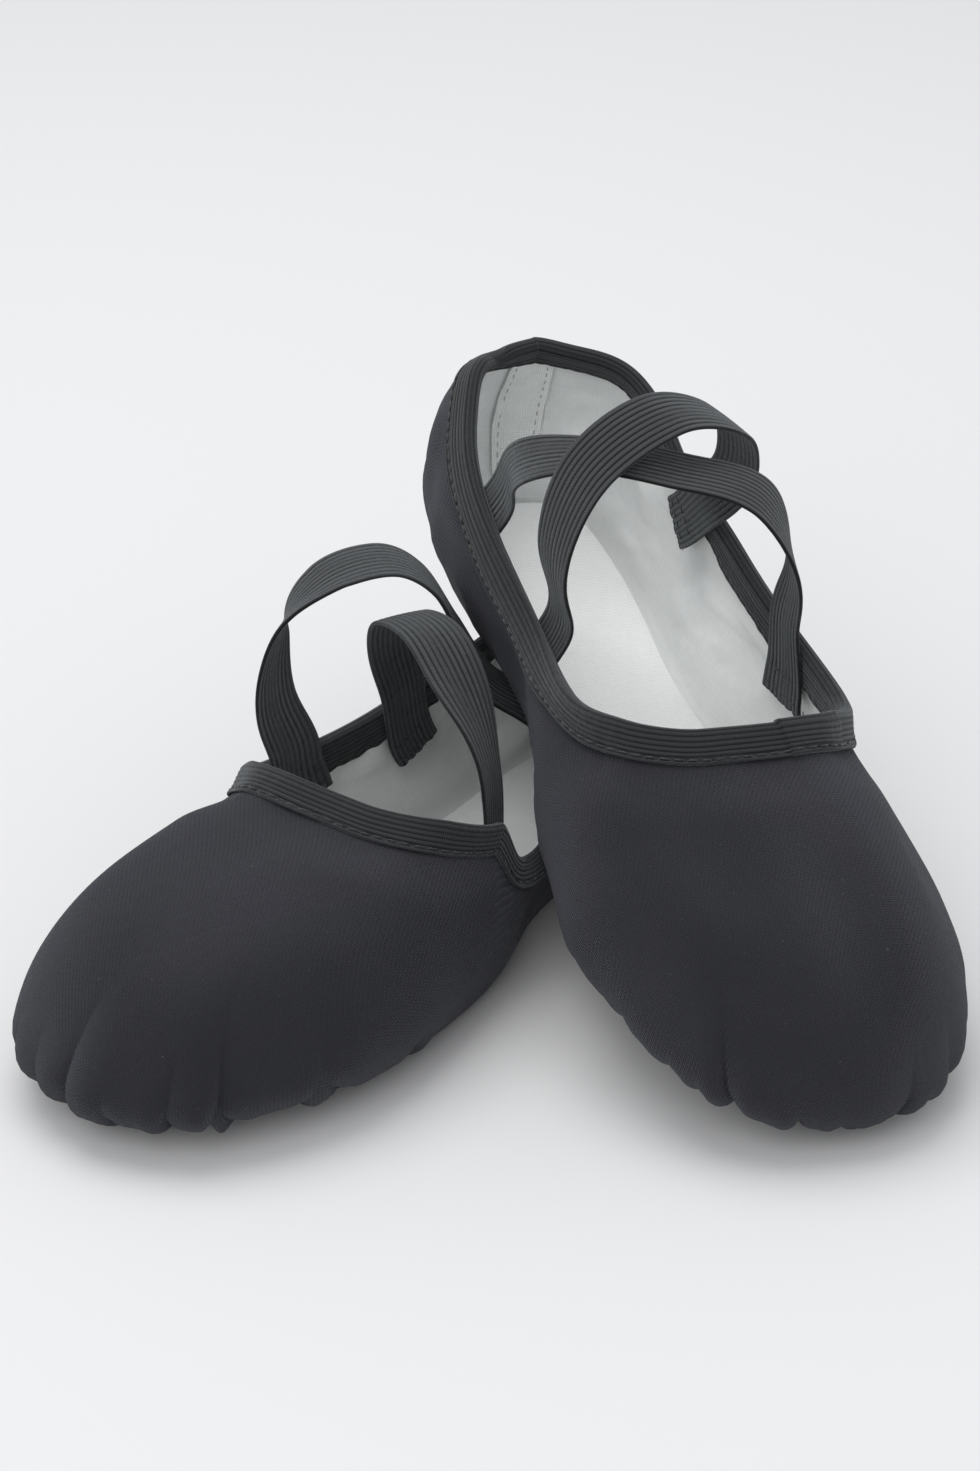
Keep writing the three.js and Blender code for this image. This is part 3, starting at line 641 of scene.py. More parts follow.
walls = {side: make_wall(side) for side in ("left", "right")}
fine_half = np.concatenate([np.linspace(0, 0.35, 24)[1:], np.linspace(0.35, 4.5, 56)[1:],
                            np.linspace(4.5, 7, 206)[1:-1]])
canvas_columns = both_halves(fine_half)
for side, wall in walls.items():
    points, normals, height, depth, uv = bag_grid(wall, canvas_columns, 7)
    pleated = gathers(side, np.broadcast_to(canvas_columns, height.shape), height)
    out = pleated + slack(side, canvas_columns, height, uv[:, :-1, 0], uv[:, :-1, 1])
    # Painted shade in the pleat grooves; below zero, a painted highlight where the canvas puffs out between them
    pleat_shade = np.clip(-pleated - 0.3, -0.4, 2.5)
    skin = points - normals * out[..., None]
    skin[..., 2] = np.where(height < 0, np.maximum(skin[..., 2], canvas_bottom), skin[..., 2])
    upper = shell(f"{side}_canvas", side, canvas_cloth, skin, normals, canvas_thickness, uv, pleat_shade)
    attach(upper, f"{side}_slipper")
    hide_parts(f"{side}_canvas_upper")


# ---- Cotton linings ----
# A loose off-white cotton lining sewn in with the binding. It has more cloth than it needs, so it lies in soft
# creases on the inner walls and is drawn down flat under the sock.
lining_out = 1.35
lining_thickness = 0.7
lining_cloth = woven_material("lining_cloth", ((0.93, 0.945, 0.935, 1), (0.87, 0.895, 0.885, 1)), 2300.0, 2.0,
                              0.00007, 0.12, slub=0.25)

# Where the sewn ends of the straps lie on the lining: place along the slipper, inner (1) or outer (-1) side
tab_places = {"left": [(124, -1), (88, 1), (64, -1), (130, 1)],
              "right": [(100, -1), (63, 1), (54, -1), (114, 1)]}


def station_at(x, sign):
    """Station of the rim at a place along the slipper, on the inner (1) or outer (-1) side."""
    t = np.linspace(0, toe_station, 1401)
    if sign < 0:
        t = station_count - t
    return float(np.interp(x, around(rim_line, t)[:, 0], t))


def creasing(side, t, height, u, v, depth):
    """How far the lining stands away from the wall, in millimetres."""
    seed = seed_for(side, 41)
    u, v = u * 1000, v * 1000
    bend = 9 * ripples(u, v, seed, 70)
    ridges = np.clip(ripples(u + bend, v * 1.5 - bend, seed + 10, 33, 5), 0, None) ** 1.4
    small = np.clip(ripples(u * 0.7 + bend * 0.5, v * 1.4, seed + 20, 12, 5), 0, None) ** 1.3
    room = smooth_step(depth, 11, 20) * smooth_step(height, -0.1, 0.6)
    room = room * smooth_step(np.interp(np.minimum(t, station_count - t), *bulge_run), 8, 17)
    for x, sign in tab_places[side]:
        room = room * smooth_step(np.abs(t - station_at(x, sign)), 0.2, 0.5)
    return (1.9 * ridges + 0.55 * small) * room


lining_columns = both_halves(np.linspace(0, 7, 161)[1:-1])
for side, wall in walls.items():
    points, normals, height, depth, uv = bag_grid(wall, lining_columns, 2)
    spot = (side, np.broadcast_to(lining_columns, height.shape), height)
    flat_place = (uv[:, :-1, 0], uv[:, :-1, 1])
    loose = creasing(*spot, *flat_place, depth)
    # Where the canvas is drawn in, the lining gives way
    away = loose - np.minimum(gathers(*spot) + slack(*spot, *flat_place), 0)
    skin = points + normals * (lining_out + away)[..., None]
    # Painted shade: the lining is darkened wherever it does not stand out in a crease, so the crease tops read
    # paler
    mark = np.clip(1.0 - loose, 0, 1) * 0.25
    lining = shell(f"{side}_lining", side, lining_cloth, skin, normals, lining_thickness, uv, mark)
    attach(lining, f"{side}_slipper")
    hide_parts(f"{side}_cotton_lining")


# ---- Topline bindings ----
# A ribbed charcoal elastic tape, folded over the raw edge of canvas and lining and stitched through near its
# lower edge. Its two ends overlap at the inner corner of the throat.
binding_depth = 9.5
binding_out = -1.2
binding_in = 3.25

yarns, given, put = new_group(
    "elastic_yarns",
    [("Band", "NodeSocketVector", None), ("Yarns per metre", "NodeSocketFloat", 2200.0)],
    [("Height", "NodeSocketFloat"), ("Fuzz", "NodeSocketFloat")])
band_parts = yarns.nodes.new("ShaderNodeSeparateXYZ")
yarns.links.new(given["Band"], band_parts.inputs[0])
wander = noise_node(yarns, given["Band"], 300, 2)
yarn_place = value_node(yarns, "MULTIPLY_ADD", band_parts.outputs["X"], given["Yarns per metre"],
                        value_node(yarns, "MULTIPLY", wander, 2.2))
zigzag = value_node(yarns, "PINGPONG", value_node(yarns, "MULTIPLY", band_parts.outputs["Y"], 1000.0), 0.93)
slanted_place = value_node(yarns, "MULTIPLY_ADD", zigzag, 0.9, yarn_place)
yarns.links.new(thread_round(yarns, slanted_place), put["Height"])
yarns.links.new(noise_node(yarns, given["Band"], 1.0, 4, (900, 2600, 1)), put["Fuzz"])


def elastic_material(name, colours, yarn_count, bump):
    """A ribbed elastic: yarns that zigzag along the band, with painted shade in the grooves between its ribs."""
    def yarns_of(tree, coordinates):
        made = placed_group(tree, yarns, Band=coordinates["UV"], Yarns_per_metre=yarn_count)
        # The tone is partly the yarns' own fuzz and partly painted shade: yarn tops lighter than the gaps
        # between them
        tone = value_node(tree, "MULTIPLY_ADD", made["Fuzz"], 0.7,
                          value_node(tree, "MULTIPLY", made["Height"], 0.45))
        return value_node(tree, "ADD", made["Height"], made["Fuzz"]), tone

    # Strong painted shade in the rib grooves
    return fabric_material(name, colours, yarns_of, 0.35, 4.2, bump, 0.8, Specular_IOR_Level=0.35,
                           Sheen_Weight=0.3, Sheen_Roughness=0.4, Sheen_Tint=(0.85, 0.92, 0.95, 1))


binding_elastic = elastic_material("binding_elastic", ((0.023, 0.024, 0.026, 1), (0.031, 0.032, 0.035, 1)),
                                   1900.0, 0.00012)
thread_paint = bpy.data.materials.new("black_thread")
thread_paint.use_nodes = True
thread_tree = thread_paint.node_tree
thread_shader = thread_tree.nodes["Principled BSDF"]
thread_place = thread_tree.nodes.new("ShaderNodeTexCoord").outputs["Object"]
thread_tone = mixed_colour(thread_tree, noise_node(thread_tree, thread_place, 2400, 2),
                           (0.006, 0.006, 0.007, 1), (0.018, 0.018, 0.02, 1))
thread_tree.links.new(thread_tone, thread_shader.inputs["Base Color"])
thread_shader.inputs["Roughness"].default_value = 0.55
thread_shader.inputs["Sheen Weight"].default_value = 0.2


def stitch_paths(line, outward, stitch, space, lift, sink=0.25):
    """Short arcs of thread along a line of points: each rises from the cloth and goes down into it again."""
    run = run_along(line)
    starts = np.arange(space / 2, run[-1] - stitch, stitch + space)
    places = starts[:, None] + stitch * np.array([0, 0.15, 0.5, 0.85, 1.0])
    rise = np.array([-sink, 0.75 * lift, lift, 0.75 * lift, -sink])
    at = np.stack([np.interp(places, run, line[:, k]) for k in range(3)], -1)
    up = np.stack([np.interp(places, run, outward[:, k]) for k in range(3)], -1)
    return at + up * rise[:, None], up


def thread_piece(name, side, paths, ups, radius, material, sides=6):
    """Round threads along many short paths, made one mesh."""
    count, steps = paths.shape[:2]
    forward = unit(np.gradient(paths, axis=1))
    across = np.cross(forward, ups)
    across /= np.maximum(np.linalg.norm(across, axis=2, keepdims=True), 1e-9)
    over = np.cross(across, forward)
    turn = np.arange(sides) * 2 * math.pi / sides
    thin = np.ones(steps)
    thin[[0, -1]] = 0.55
    rings = paths[:, :, None] + radius * thin[:, None, None] * (
        np.cos(turn)[:, None] * across[:, :, None] + np.sin(turn)[:, None] * over[:, :, None])
    points = placed(rings.reshape(-1, 3), side)
    index = np.arange(count * steps * sides).reshape(count, steps, sides)
    ahead = np.roll(index, -1, 2)
    quads = np.stack([index[:, :-1], ahead[:, :-1], ahead[:, 1:], index[:, 1:]], -1).reshape(-1, 4)
    faces = quads.tolist() + index[:, 0, ::-1].tolist() + index[:, -1].tolist()
    if side == "left":
        faces = [face[::-1] for face in faces]
    mesh = bpy.data.meshes.new(name)
    mesh.from_pydata(points.tolist(), [], faces)
    mesh.shade_smooth()
    mesh.materials.append(material)
    thing = bpy.data.objects.new(name, mesh)
    bpy.context.scene.collection.objects.link(thing)
    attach(thing, f"{side}_slipper")
    return thing


def stitch_rows(name, side, rows, stitch, space, lift, radius, material):
    """Rows of stitches, each given by its line and the ways outward from it, made one mesh."""
    made = [stitch_paths(line, outward, stitch, space, lift) for line, outward in rows]
    paths, ups = (np.concatenate(each) for each in zip(*made))
    return thread_piece(name, side, paths, ups, radius, material)


def rib_wave(x, pitch):
    """Rounded ridges with narrow grooves between them, from 0 in a groove to 1 on a ridge."""
    return np.abs(np.sin(math.pi * x / pitch)) ** 0.6


def binding_section(fold_shift):
    """Section of the folded tape: depth below the rim, offset inwards, place across the tape, and groove depth,
    which also gives the painted shade in the rib grooves.
    """
    centre, half = (binding_out + binding_in) / 2, (binding_in - binding_out) / 2
    arch = 1.9
    outer_leg = np.linspace(binding_depth, arch, 44)[:-1]
    turn = np.linspace(math.pi, 0, 20)
    inner_leg = np.linspace(arch, binding_depth, 30)[1:]
    depth = np.concatenate([outer_leg, arch - arch * np.sin(turn), inner_leg])
    offset = np.concatenate([np.full(len(outer_leg), binding_out), centre + half * np.cos(turn),
                             np.full(len(inner_leg), binding_in)])
    across = run_along(np.stack([depth, offset], 1))
    tangent = unit(np.stack([np.gradient(depth), np.gradient(offset)], 1))
    normal = np.stack([tangent[:, 1], -tangent[:, 0]], 1)
    groove = 1 - rib_wave(across + fold_shift, 1.22)
    edge_soft = np.minimum(across, across[-1] - across)
    shrink = 0.26 * groove + 0.4 * np.exp(-(edge_soft / 0.28) ** 2)
    depth, offset = depth + normal[:, 0] * shrink, offset + normal[:, 1] * shrink
    return depth, offset, across, groove


def lap_share(t):
    """1 where the tape's two ends overlap, at the inner corner of the throat."""
    return smooth_step(t, 5.0, 5.06) * (1 - smooth_step(t, 6.25, 6.29))


binding_columns = 560
binding_stitch_line = 8.15
for side, wall in walls.items():
    depth, offset, across, groove = binding_section(0.3)
    t = np.arange(binding_columns) / binding_columns * station_count
    rim = around(rim_line, t)
    run = run_along(np.append(rim, rim[:1], 0))
    wander = ripples(run[:-1], run[:-1] * 0, seed_for(side, 51), 23)
    flutter = ripples(run[:-1], run[:-1] * 0, seed_for(side, 53), 4.5)
    depth_grid = np.tile(depth[:, None], (1, len(t)))
    offset_grid = np.tile(offset[:, None], (1, len(t)))
    outer_side = smooth_step(-offset_grid, -0.4, 0.8)
    inner_side = smooth_step(offset_grid, 1.6, 3.0)
    low = smooth_step(depth_grid, 5.5, 9.3)
    depth_grid = depth_grid + low * (0.35 * wander * outer_side + (0.45 * wander + 0.3 * flutter) * inner_side)
    stitch_dent = np.exp(-((depth_grid - 8.1) / 0.55) ** 2)
    offset_grid = offset_grid + outer_side * (0.38 * stitch_dent * (1 + 0.5 * flutter) - 0.12 * low * wander)
    offset_grid = offset_grid + inner_side * (0.25 * low * np.abs(wander) - 0.08 * stitch_dent)
    if side == "right":
        # The tape twists a little at the heel, and its two ends overlap
        twist = np.exp(-(np.minimum(t + 0.5, np.abs(t - 13.45)) / 0.16) ** 2)
        offset_grid = offset_grid + 0.9 * twist * (1 - smooth_step(depth_grid, 0, 6))
        depth_grid = depth_grid + 1.3 * twist * (1 - smooth_step(depth_grid, 2, 8))
        lap = lap_share(t)
        offset_grid = offset_grid - 0.75 * lap * outer_side * (1 - 0.2 * low)
        depth_grid = depth_grid - 0.55 * lap * (1 - smooth_step(depth_grid, 0.6, 3))
    points = on_wall(wall, np.broadcast_to(t, depth_grid.shape), np.maximum(depth_grid, 0), offset_grid)
    above = np.minimum(depth_grid, 0)
    points = points - above[..., None] * unit(on_wall(wall, t, 0, 0) - on_wall(wall, t, 1, 0))
    uv = np.stack(np.meshgrid(run / 1000, across / 1000), -1)
    cloth = Cloth()
    # The groove depth also paints shade into the rib grooves of the tape
    outer = cloth.grid(points, uv, True, flip=True, mark=np.broadcast_to(groove[:, None], depth_grid.shape))
    hidden_depth = np.array([binding_depth - 0.15, 5.0, 1.15, 1.15, 5.0, binding_depth - 0.15])
    hidden_offset = np.array([-0.35, -0.35, -0.2, 2.2, 2.4, 2.4])
    hidden = on_wall(wall, np.broadcast_to(t, (6, len(t))), hidden_depth[:, None], hidden_offset[:, None])
    inner = cloth.grid(hidden, uv[:6], True)
    cloth.bridge(inner[0], outer[0], True)
    cloth.bridge(outer[-1], inner[-1], True)
    binding = cloth.piece(f"{side}_binding", side, binding_elastic)
    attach(binding, f"{side}_slipper")
    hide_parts(f"{side}_topline_binding")

    line_t = np.linspace(0, station_count, 1401)
    seam_wander = 0.18 * ripples(np.interp(line_t, np.append(t, station_count), run), line_t * 0, 57, 30)
    for face, base, sign in (("outer", binding_out + 0.3, -1), ("inner", binding_in - 0.05, 1)):
        line = on_wall(wall, line_t, binding_stitch_line + seam_wander, base)
        outward = sign * look_up(wall, "normals", line_t, np.full(len(line_t), binding_stitch_line))
        if side == "right" and face == "outer":
            line = line + outward * 0.6 * lap_share(line_t)[:, None]
        row = stitch_rows(f"{side}_binding_stitches_{face}", side, [(line, outward)], 2.4, 1.0, 0.2, 0.27,
                          thread_paint)


# ---- Heel seam tapes ----
# Inside the heel the back seam is covered by a white cotton tape, sewn down by a row of stitches near each
# edge. Outside, a row of black stitches runs down each side of the seam.
tape_cloth = woven_material("tape_cloth", ((0.88, 0.90, 0.885, 1), (0.80, 0.825, 0.81, 1)), 1500.0, 2.0,
                            0.00012, 0.1, slub=0.3)
white_thread = woven_material("white_thread", ((0.30, 0.31, 0.30, 1), (0.42, 0.43, 0.42, 1)), 2500.0, 2.0,
                              0.00002, 0.3, sheen=0.3)
tape_half = 7.0
tape_out = 2.4
tape_thickness = 0.5
tape_top = 8.8
tape_stitch_line = 5.2
line_count = 200
for side, wall in walls.items():
    inner_run = np.linspace(-0.6, 0.6, 241)
    reach = on_wall(wall, inner_run, 20, tape_out)
    run = run_along(reach)
    run -= np.interp(0, inner_run, run)
    sides = np.linspace(-tape_half, tape_half, 45)
    t = np.interp(sides, run, inner_run)
    bottom = look_up(wall, "total", np.zeros(1), 0)[0] * 0.86
    t_grid, depth_grid = np.meshgrid(t, np.linspace(tape_top, bottom, 60))
    beside = np.broadcast_to(sides, t_grid.shape)
    seam_bulge = 0.28 * np.exp(-((np.abs(beside) - 2.4) / 1.7) ** 2)
    stitch_dent = 0.12 * np.exp(-((np.abs(beside) - tape_stitch_line) / 0.5) ** 2)
    puff = seam_bulge - stitch_dent + 0.22 * ripples(beside, depth_grid, seed_for(side, 61), 9)
    away = tape_out + 0.15 + np.clip(puff + 0.1, 0, None)
    uv = np.stack([depth_grid / 1000, beside / 1000], -1)
    cloth = Cloth()
    outer = cloth.grid(on_wall(wall, t_grid, depth_grid, away), uv, False)
    inner = cloth.grid(on_wall(wall, t_grid, depth_grid, away + tape_thickness), uv, False, flip=True)
    for first, second in ((outer[0], inner[0]), (inner[-1], outer[-1]), (inner[:, 0], outer[:, 0]),
                          (outer[:, -1], inner[:, -1])):
        cloth.bridge(first, second, False)
    tape = cloth.piece(f"{side}_seam_tape", side, tape_cloth)
    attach(tape, f"{side}_slipper")
    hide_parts(f"{side}_heel_seam_tape")

    rows = []
    for place in (-tape_stitch_line, tape_stitch_line):
        line_t = np.full(line_count, np.interp(place, run, inner_run))
        line_depth = np.linspace(10, bottom - 1, line_count)
        rows.append((on_wall(wall, line_t, line_depth, tape_out + 0.62),
                     look_up(wall, "normals", line_t, line_depth)))
    row = stitch_rows(f"{side}_tape_stitches", side, rows, 1.7, 1.3, 0.14, 0.17, white_thread)
    rows = []
    for place in (-back_seam_stitch_line, back_seam_stitch_line):
        line_t = np.full(line_count, np.interp(place, run, inner_run))
        line_depth = np.linspace(11, bottom + 3, line_count)
        flat_place = pattern_place(line_t % station_count, line_depth)
        rise = slack(side, line_t % station_count, look_up(wall, "height", line_t, line_depth), *flat_place.T)
        rows.append((on_wall(wall, line_t, line_depth, -rise),
                     -look_up(wall, "normals", line_t, line_depth)))
    row = stitch_rows(f"{side}_back_seam_stitches", side, rows, 1.9, 1.1, 0.13, 0.17, thread_paint)


# ---- Split soles, foam pads and socks ----
# Two dark suede patches are stitched under the ball and the heel, with bare canvas under the arch. Over them
# inside lie two thin foam pads, and a white cotton sock covers both from heel to toe.
slipper_length = 244


def with_ends(points):
    """A line of points with one more at each end, so that a smooth curve can pass through all of it."""
    return np.concatenate([2 * points[:1] - points[1:2], points, 2 * points[-1:] - points[-2:-1]])


def foot_outline(inset, from_x, to_x, bulge):
    """Outline of the foot inside an inset; where it stops short of heel or toe it ends in a round."""
    ahead, behind = np.roll(edge_points, -1, 0), np.roll(edge_points, 1, 0)
    outwards = unit(np.stack([behind[:, 1] - ahead[:, 1], ahead[:, 0] - behind[:, 0]], 1))
    inside = edge_points[:, :2] - outwards * inset
    if to_x < slipper_length / 2:
        inside = np.roll(inside, -len(inside) // 2, 0)
    kept = inside[(inside[:, 0] > from_x) & (inside[:, 0] < to_x)]
    if len(kept) == len(inside):
        return around(kept, np.arange(len(kept) * 4) / 4)
    longer = with_ends(kept)
    curve = [spline(*longer[i:i + 4], f) for i in range(len(kept) - 1) for f in (0, 0.25, 0.5, 0.75)]
    first, last = kept[0], kept[-1]
    curve.append(last)
    tip = min(first[0], last[0]) - bulge if from_x > 0 else max(first[0], last[0]) + bulge
    for f in np.linspace(0, 1, 22)[1:-1]:
        a, b = np.array([tip, last[1] * 0.6]), np.array([tip, first[1] * 0.6])
        curve.append((1 - f) ** 3 * last + 3 * f * (1 - f) ** 2 * a + 3 * f * f * (1 - f) * b + f ** 3 * first)
    return np.array(curve)


def cut_piece(name, side, outline, bottom, thickness, material, rounding, crown=0.0, cells=5.0):
    """A flat piece cut to an outline: filled, thickened, its edges rounded and its top slightly crowned."""
    bpy.ops.object.select_all(action="DESELECT")
    bpy.ops.mesh.primitive_circle_add(vertices=len(outline), radius=1, fill_type="NGON")
    piece = bpy.context.object
    piece.name = name
    for corner, (x, y) in zip(piece.data.vertices, outline):
        corner.co = (x, y, bottom)
    bpy.ops.object.mode_set(mode="EDIT")
    bpy.ops.mesh.select_all(action="SELECT")
    for axis, low, high in zip((0, 1), outline.min(0), outline.max(0)):
        for cut in np.arange(low + cells, high - cells / 2, cells):
            at, normal = [0, 0, bottom], [0, 0, 0]
            at[axis], normal[axis] = cut, 1
            bpy.ops.mesh.select_all(action="SELECT")
            bpy.ops.mesh.bisect(plane_co=at, plane_no=normal)
    bpy.ops.mesh.select_all(action="SELECT")
    bpy.ops.mesh.extrude_region_move(TRANSFORM_OT_translate={"value": (0, 0, thickness)})
    bpy.ops.mesh.select_all(action="SELECT")
    bpy.ops.mesh.normals_make_consistent(inside=False)
    bpy.ops.object.mode_set(mode="OBJECT")
    bevel = piece.modifiers.new("edge", "BEVEL")
    bevel.width = rounding
    bevel.segments = 3
    bevel.limit_method = "ANGLE"
    bevel.angle_limit = math.radians(50)
    bpy.ops.object.modifier_apply(modifier="edge")
    mesh = piece.data
    points = np.array([v.co for v in mesh.vertices])
    spread = np.array([np.min(np.hypot(*(outline - p[:2]).T)) for p in points])
    top = smooth_step(points[:, 2], bottom, bottom + thickness)
    points[:, 2] += top * crown * smooth_step(spread, 0, 14)
    if side == "left":
        mesh.flip_normals()
    mesh.vertices.foreach_set("co", placed(points, side).astype(np.float32).ravel())
    loop_vertex = np.zeros(len(mesh.loops), int)
    mesh.loops.foreach_get("vertex_index", loop_vertex)
    while mesh.uv_layers:
        mesh.uv_layers.remove(mesh.uv_layers[0])
    flat_uv = points[loop_vertex, :2] / 1000
    mesh.uv_layers.new(name="cloth").data.foreach_set("uv", flat_uv.astype(np.float32).ravel())
    mesh.update()
    mesh.materials.append(material)
    bpy.ops.object.select_all(action="DESELECT")
    piece.select_set(True)
    bpy.context.view_layer.objects.active = piece
    bpy.ops.object.shade_smooth_by_angle(angle=math.radians(40))
    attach(piece, f"{side}_slipper")
    return piece


def grainy_material(name, colours, grain, sheen):
    """A material with a short nap and no threads."""
    def nap_of(tree, coordinates):
        nap = noise_node(tree, coordinates["Object"], grain, 5)
        return nap, nap

    return fabric_material(name, colours, nap_of, 0.4, 0.0, 0.0002, 0.7, Sheen_Weight=sheen,
                           Specular_IOR_Level=0.15)


suede = grainy_material("sole_suede", ((0.030, 0.032, 0.029, 1), (0.048, 0.050, 0.045, 1)), 1400, 0.35)
foam = grainy_material("pad_foam", ((0.66, 0.60, 0.48, 1), (0.72, 0.67, 0.56, 1)), 2200, 0.1)
sock_cloth = woven_material("sock_cloth", ((0.95, 0.955, 0.95, 1), (0.92, 0.93, 0.925, 1)), 1600.0, 2.0,
                            0.00006, 0.12, slub=0.2)

sole_thickness = 1.2
sole_inset, pad_inset, sock_inset = 2.5, 10, 6.5
forefoot_start, heel_end, past_toe, end_bulge = 118, 72, 488, 9
pad_bottom, pad_thickness, pad_crown = 3.95, 2.0, 0.15
sock_bottom, sock_thickness = 6.3, 1.0
for side in ("left", "right"):
    for where, low, high in (("forefoot", forefoot_start, past_toe), ("heel", 0, heel_end)):
        outline = foot_outline(sole_inset, low, high, end_bulge)
        patch = cut_piece(f"{side}_{where}_suede", side, outline, 0, sole_thickness, suede, 0.4, cells=12)
        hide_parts(f"{side}_{where}_sole")
        loop = foot_outline(sole_inset + 2.2, low, high, end_bulge - 2)
        line = np.pad(np.append(loop, loop[:1], 0), ((0, 0), (0, 1)))
        paths, ups = stitch_paths(line, np.tile([0, 0, -1.0], (len(line), 1)), 2.4, 1.0, -0.02, sink=0.35)
        # The thread lies sunk in the suede, clear of the floor
        paths[..., 2] = np.maximum(paths[..., 2], 0.17)
        row = thread_piece(f"{side}_{where}_sole_stitches", side, paths, ups, 0.2, thread_paint)
        pad_line = foot_outline(pad_inset, low, high, end_bulge)
        pad = cut_piece(f"{side}_{where}_foam", side, pad_line, pad_bottom, pad_thickness - pad_crown, foam, 0.6,
                        pad_crown, 12)
        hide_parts(f"{side}_{where}_pad")
    sock_line = foot_outline(sock_inset, 0, past_toe, 0)
    sock = cut_piece(f"{side}_cotton_sock", side, sock_line, sock_bottom, sock_thickness, sock_cloth, 0.35,
                     0.2, 6)
    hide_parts(f"{side}_sock")


# ---- Elastic straps ----
# Two ribbed black elastics cross over each instep. Each is one length of band: its ends go down inside the
# binding, are sewn there with two short rows of stitches, and are left raw.
strap_width, strap_thickness, strap_rise, sewn_clear = 15.5, 1.2, 5, 0.35
tab_middle = 4.2
tab_steps = 27
strap_steps = 190
edge_on_angle = math.radians(14)
fray_count = 26
# How far the raw end of each sewn end stands off the lining, and how long the end is
tab_shapes = {("right", "lateral"): ((-0.4, 11), (3.0, 17.5)), ("right", "medial"): ((1.5, 15), (3.0, 16)),
              ("left", "lateral"): ((0.0, 12), (3.0, 17)), ("left", "medial"): ((1.0, 16), (2.0, 17))}
rib_count = 10
strap_elastic = elastic_material("strap_elastic", ((0.044, 0.047, 0.050, 1), (0.062, 0.066, 0.070, 1)),
                                 2100.0, 0.00018)
# Where each strap's outer and inner ends are sewn in, along the slipper, and the places it passes between them
strap_routes = {
    ("right", "lateral"): (100, 63, [(92, -28, 57), (80, -18, 76), (75, 3, 88), (74, 22, 82), (71, 29, 61)]),
    ("right", "medial"): (54, 114, [(56, -27, 58), (69, -14, 71), (84, 4, 77), (98, 22, 78), (111, 30, 62)]),
    ("left", "lateral"): (124, 88, [(121, -25, 55), (114, -11, 70), (107, 4, 78), (101, 19, 75), (93, 28, 59)]),
    ("left", "medial"): (64, 130, [(64, -10, 35), (66, 3, 39), (71, 13, 45), (75, 20, 60), (83, 24, 77),
                                   (98, 26, 88), (118, 29, 90), (132, 31, 82), (136, 32, 62)]),
}


def even_route(points, count):
    """Evenly spaced places on a smooth curve that passes through points."""
    points = with_ends(points)
    curve = []
    for p0, p1, p2, p3 in zip(points, points[1:], points[2:], points[3:]):
        d0, d1, d2 = (math.sqrt(np.linalg.norm(b - a)) for a, b in ((p0, p1), (p1, p2), (p2, p3)))
        m1 = ((p1 - p0) / d0 - (p2 - p0) / (d0 + d1) + (p2 - p1) / d1) * d1
        m2 = ((p2 - p1) / d1 - (p3 - p1) / (d1 + d2) + (p3 - p2) / d2) * d1
        f = np.linspace(0, 1, 60, endpoint=False)[:, None]
        curve.append((2 * f ** 3 - 3 * f ** 2 + 1) * p1 + (f ** 3 - 2 * f ** 2 + f) * m1
                     + (-2 * f ** 3 + 3 * f ** 2) * p2 + (f ** 3 - f ** 2) * m2)
    curve = np.concatenate(curve + [points[-2:-1]])
    run = run_along(curve)
    even = np.linspace(0, run[-1], count)
    centre = np.stack([np.interp(even, run, curve[:, k]) for k in range(3)], 1)
    return centre, run[-1]


def band_root(wall, x, sign, first_over, lean, tab_length):
    """Where a strap leaves its sewn end: its middle, and the ways along and across it."""
    t = station_at(x, sign)
    ring = on_wall(wall, np.array([t - 0.125, t + 0.125]), 0, 4.8)
    half = strap_width / 2 / np.linalg.norm(ring[1] - ring[0]) / 4
    point = on_wall(wall, t, 0, tab_middle)
    up = unit(point - on_wall(wall, t, 1.2, tab_middle))
    ends = on_wall(wall, np.array([t - sign * half, t + sign * half]), 0, tab_middle)
    forward = unit(ends[1] - ends[0])
    gone = np.array(first_over) - point
    slant = float(np.clip(-(gone @ forward) / max(gone @ up, 8), -0.6, 0.6))
    if lean < 1:
        # An end that lies flat on the lining is sewn down almost straight
        slant *= 0.4
    size = math.hypot(1, slant)
    return {"t": t, "half": half * sign, "point": point, "slant": slant, "size": size, "rim_up": up,
            "lean": lean, "tab": tab_length, "up": (up - slant * forward) / size,
            "forward": (forward + slant * up) / size}


def tab_place(root, sideways, down):
    """Station and depth on the wall of a point of a slanted sewn end."""
    t = root["t"] + (sideways + down * root["slant"]) / root["size"] * root["half"] * 2 / strap_width
    return t, (down - sideways * root["slant"]) / root["size"]


def tab_off(root, depth):
    """How far the middle of a sewn end lies inside the wall: its raw end stands off more."""
    return tab_middle + root["lean"] * smooth_step(depth, 7, 21)


def sewn_row(wall, root, down, ragged=0.0):
    """One row of a strap's sewn end, some way down from the rim (above it, below zero)."""
    t, depth = tab_place(root, section_share * strap_width / 2, down)
    depth = depth + ragged
    off = tab_off(root, depth) - section_lift * strap_thickness / 2
    return on_wall(wall, t, np.maximum(depth, 0), off) + np.maximum(-depth, 0)[:, None] * root["rim_up"]


def tab_rows(wall, root, rng):
    """The sewn end on the wall: rows from the rim down to the raw cut edge, which stands off the lining."""
    jag = 0.55 * rng.uniform(-1, 1, rib_count + 1)
    cut = np.interp((section_share + 1) / 2 * rib_count, np.arange(rib_count + 1), jag)
    depths = root["tab"] * np.arange(tab_steps + 1) / tab_steps
    raggeds = [cut * smooth_step(depth, root["tab"] - 3, root["tab"]) for depth in depths]
    return [sewn_row(wall, root, depth, ragged) for depth, ragged in zip(depths, raggeds)]


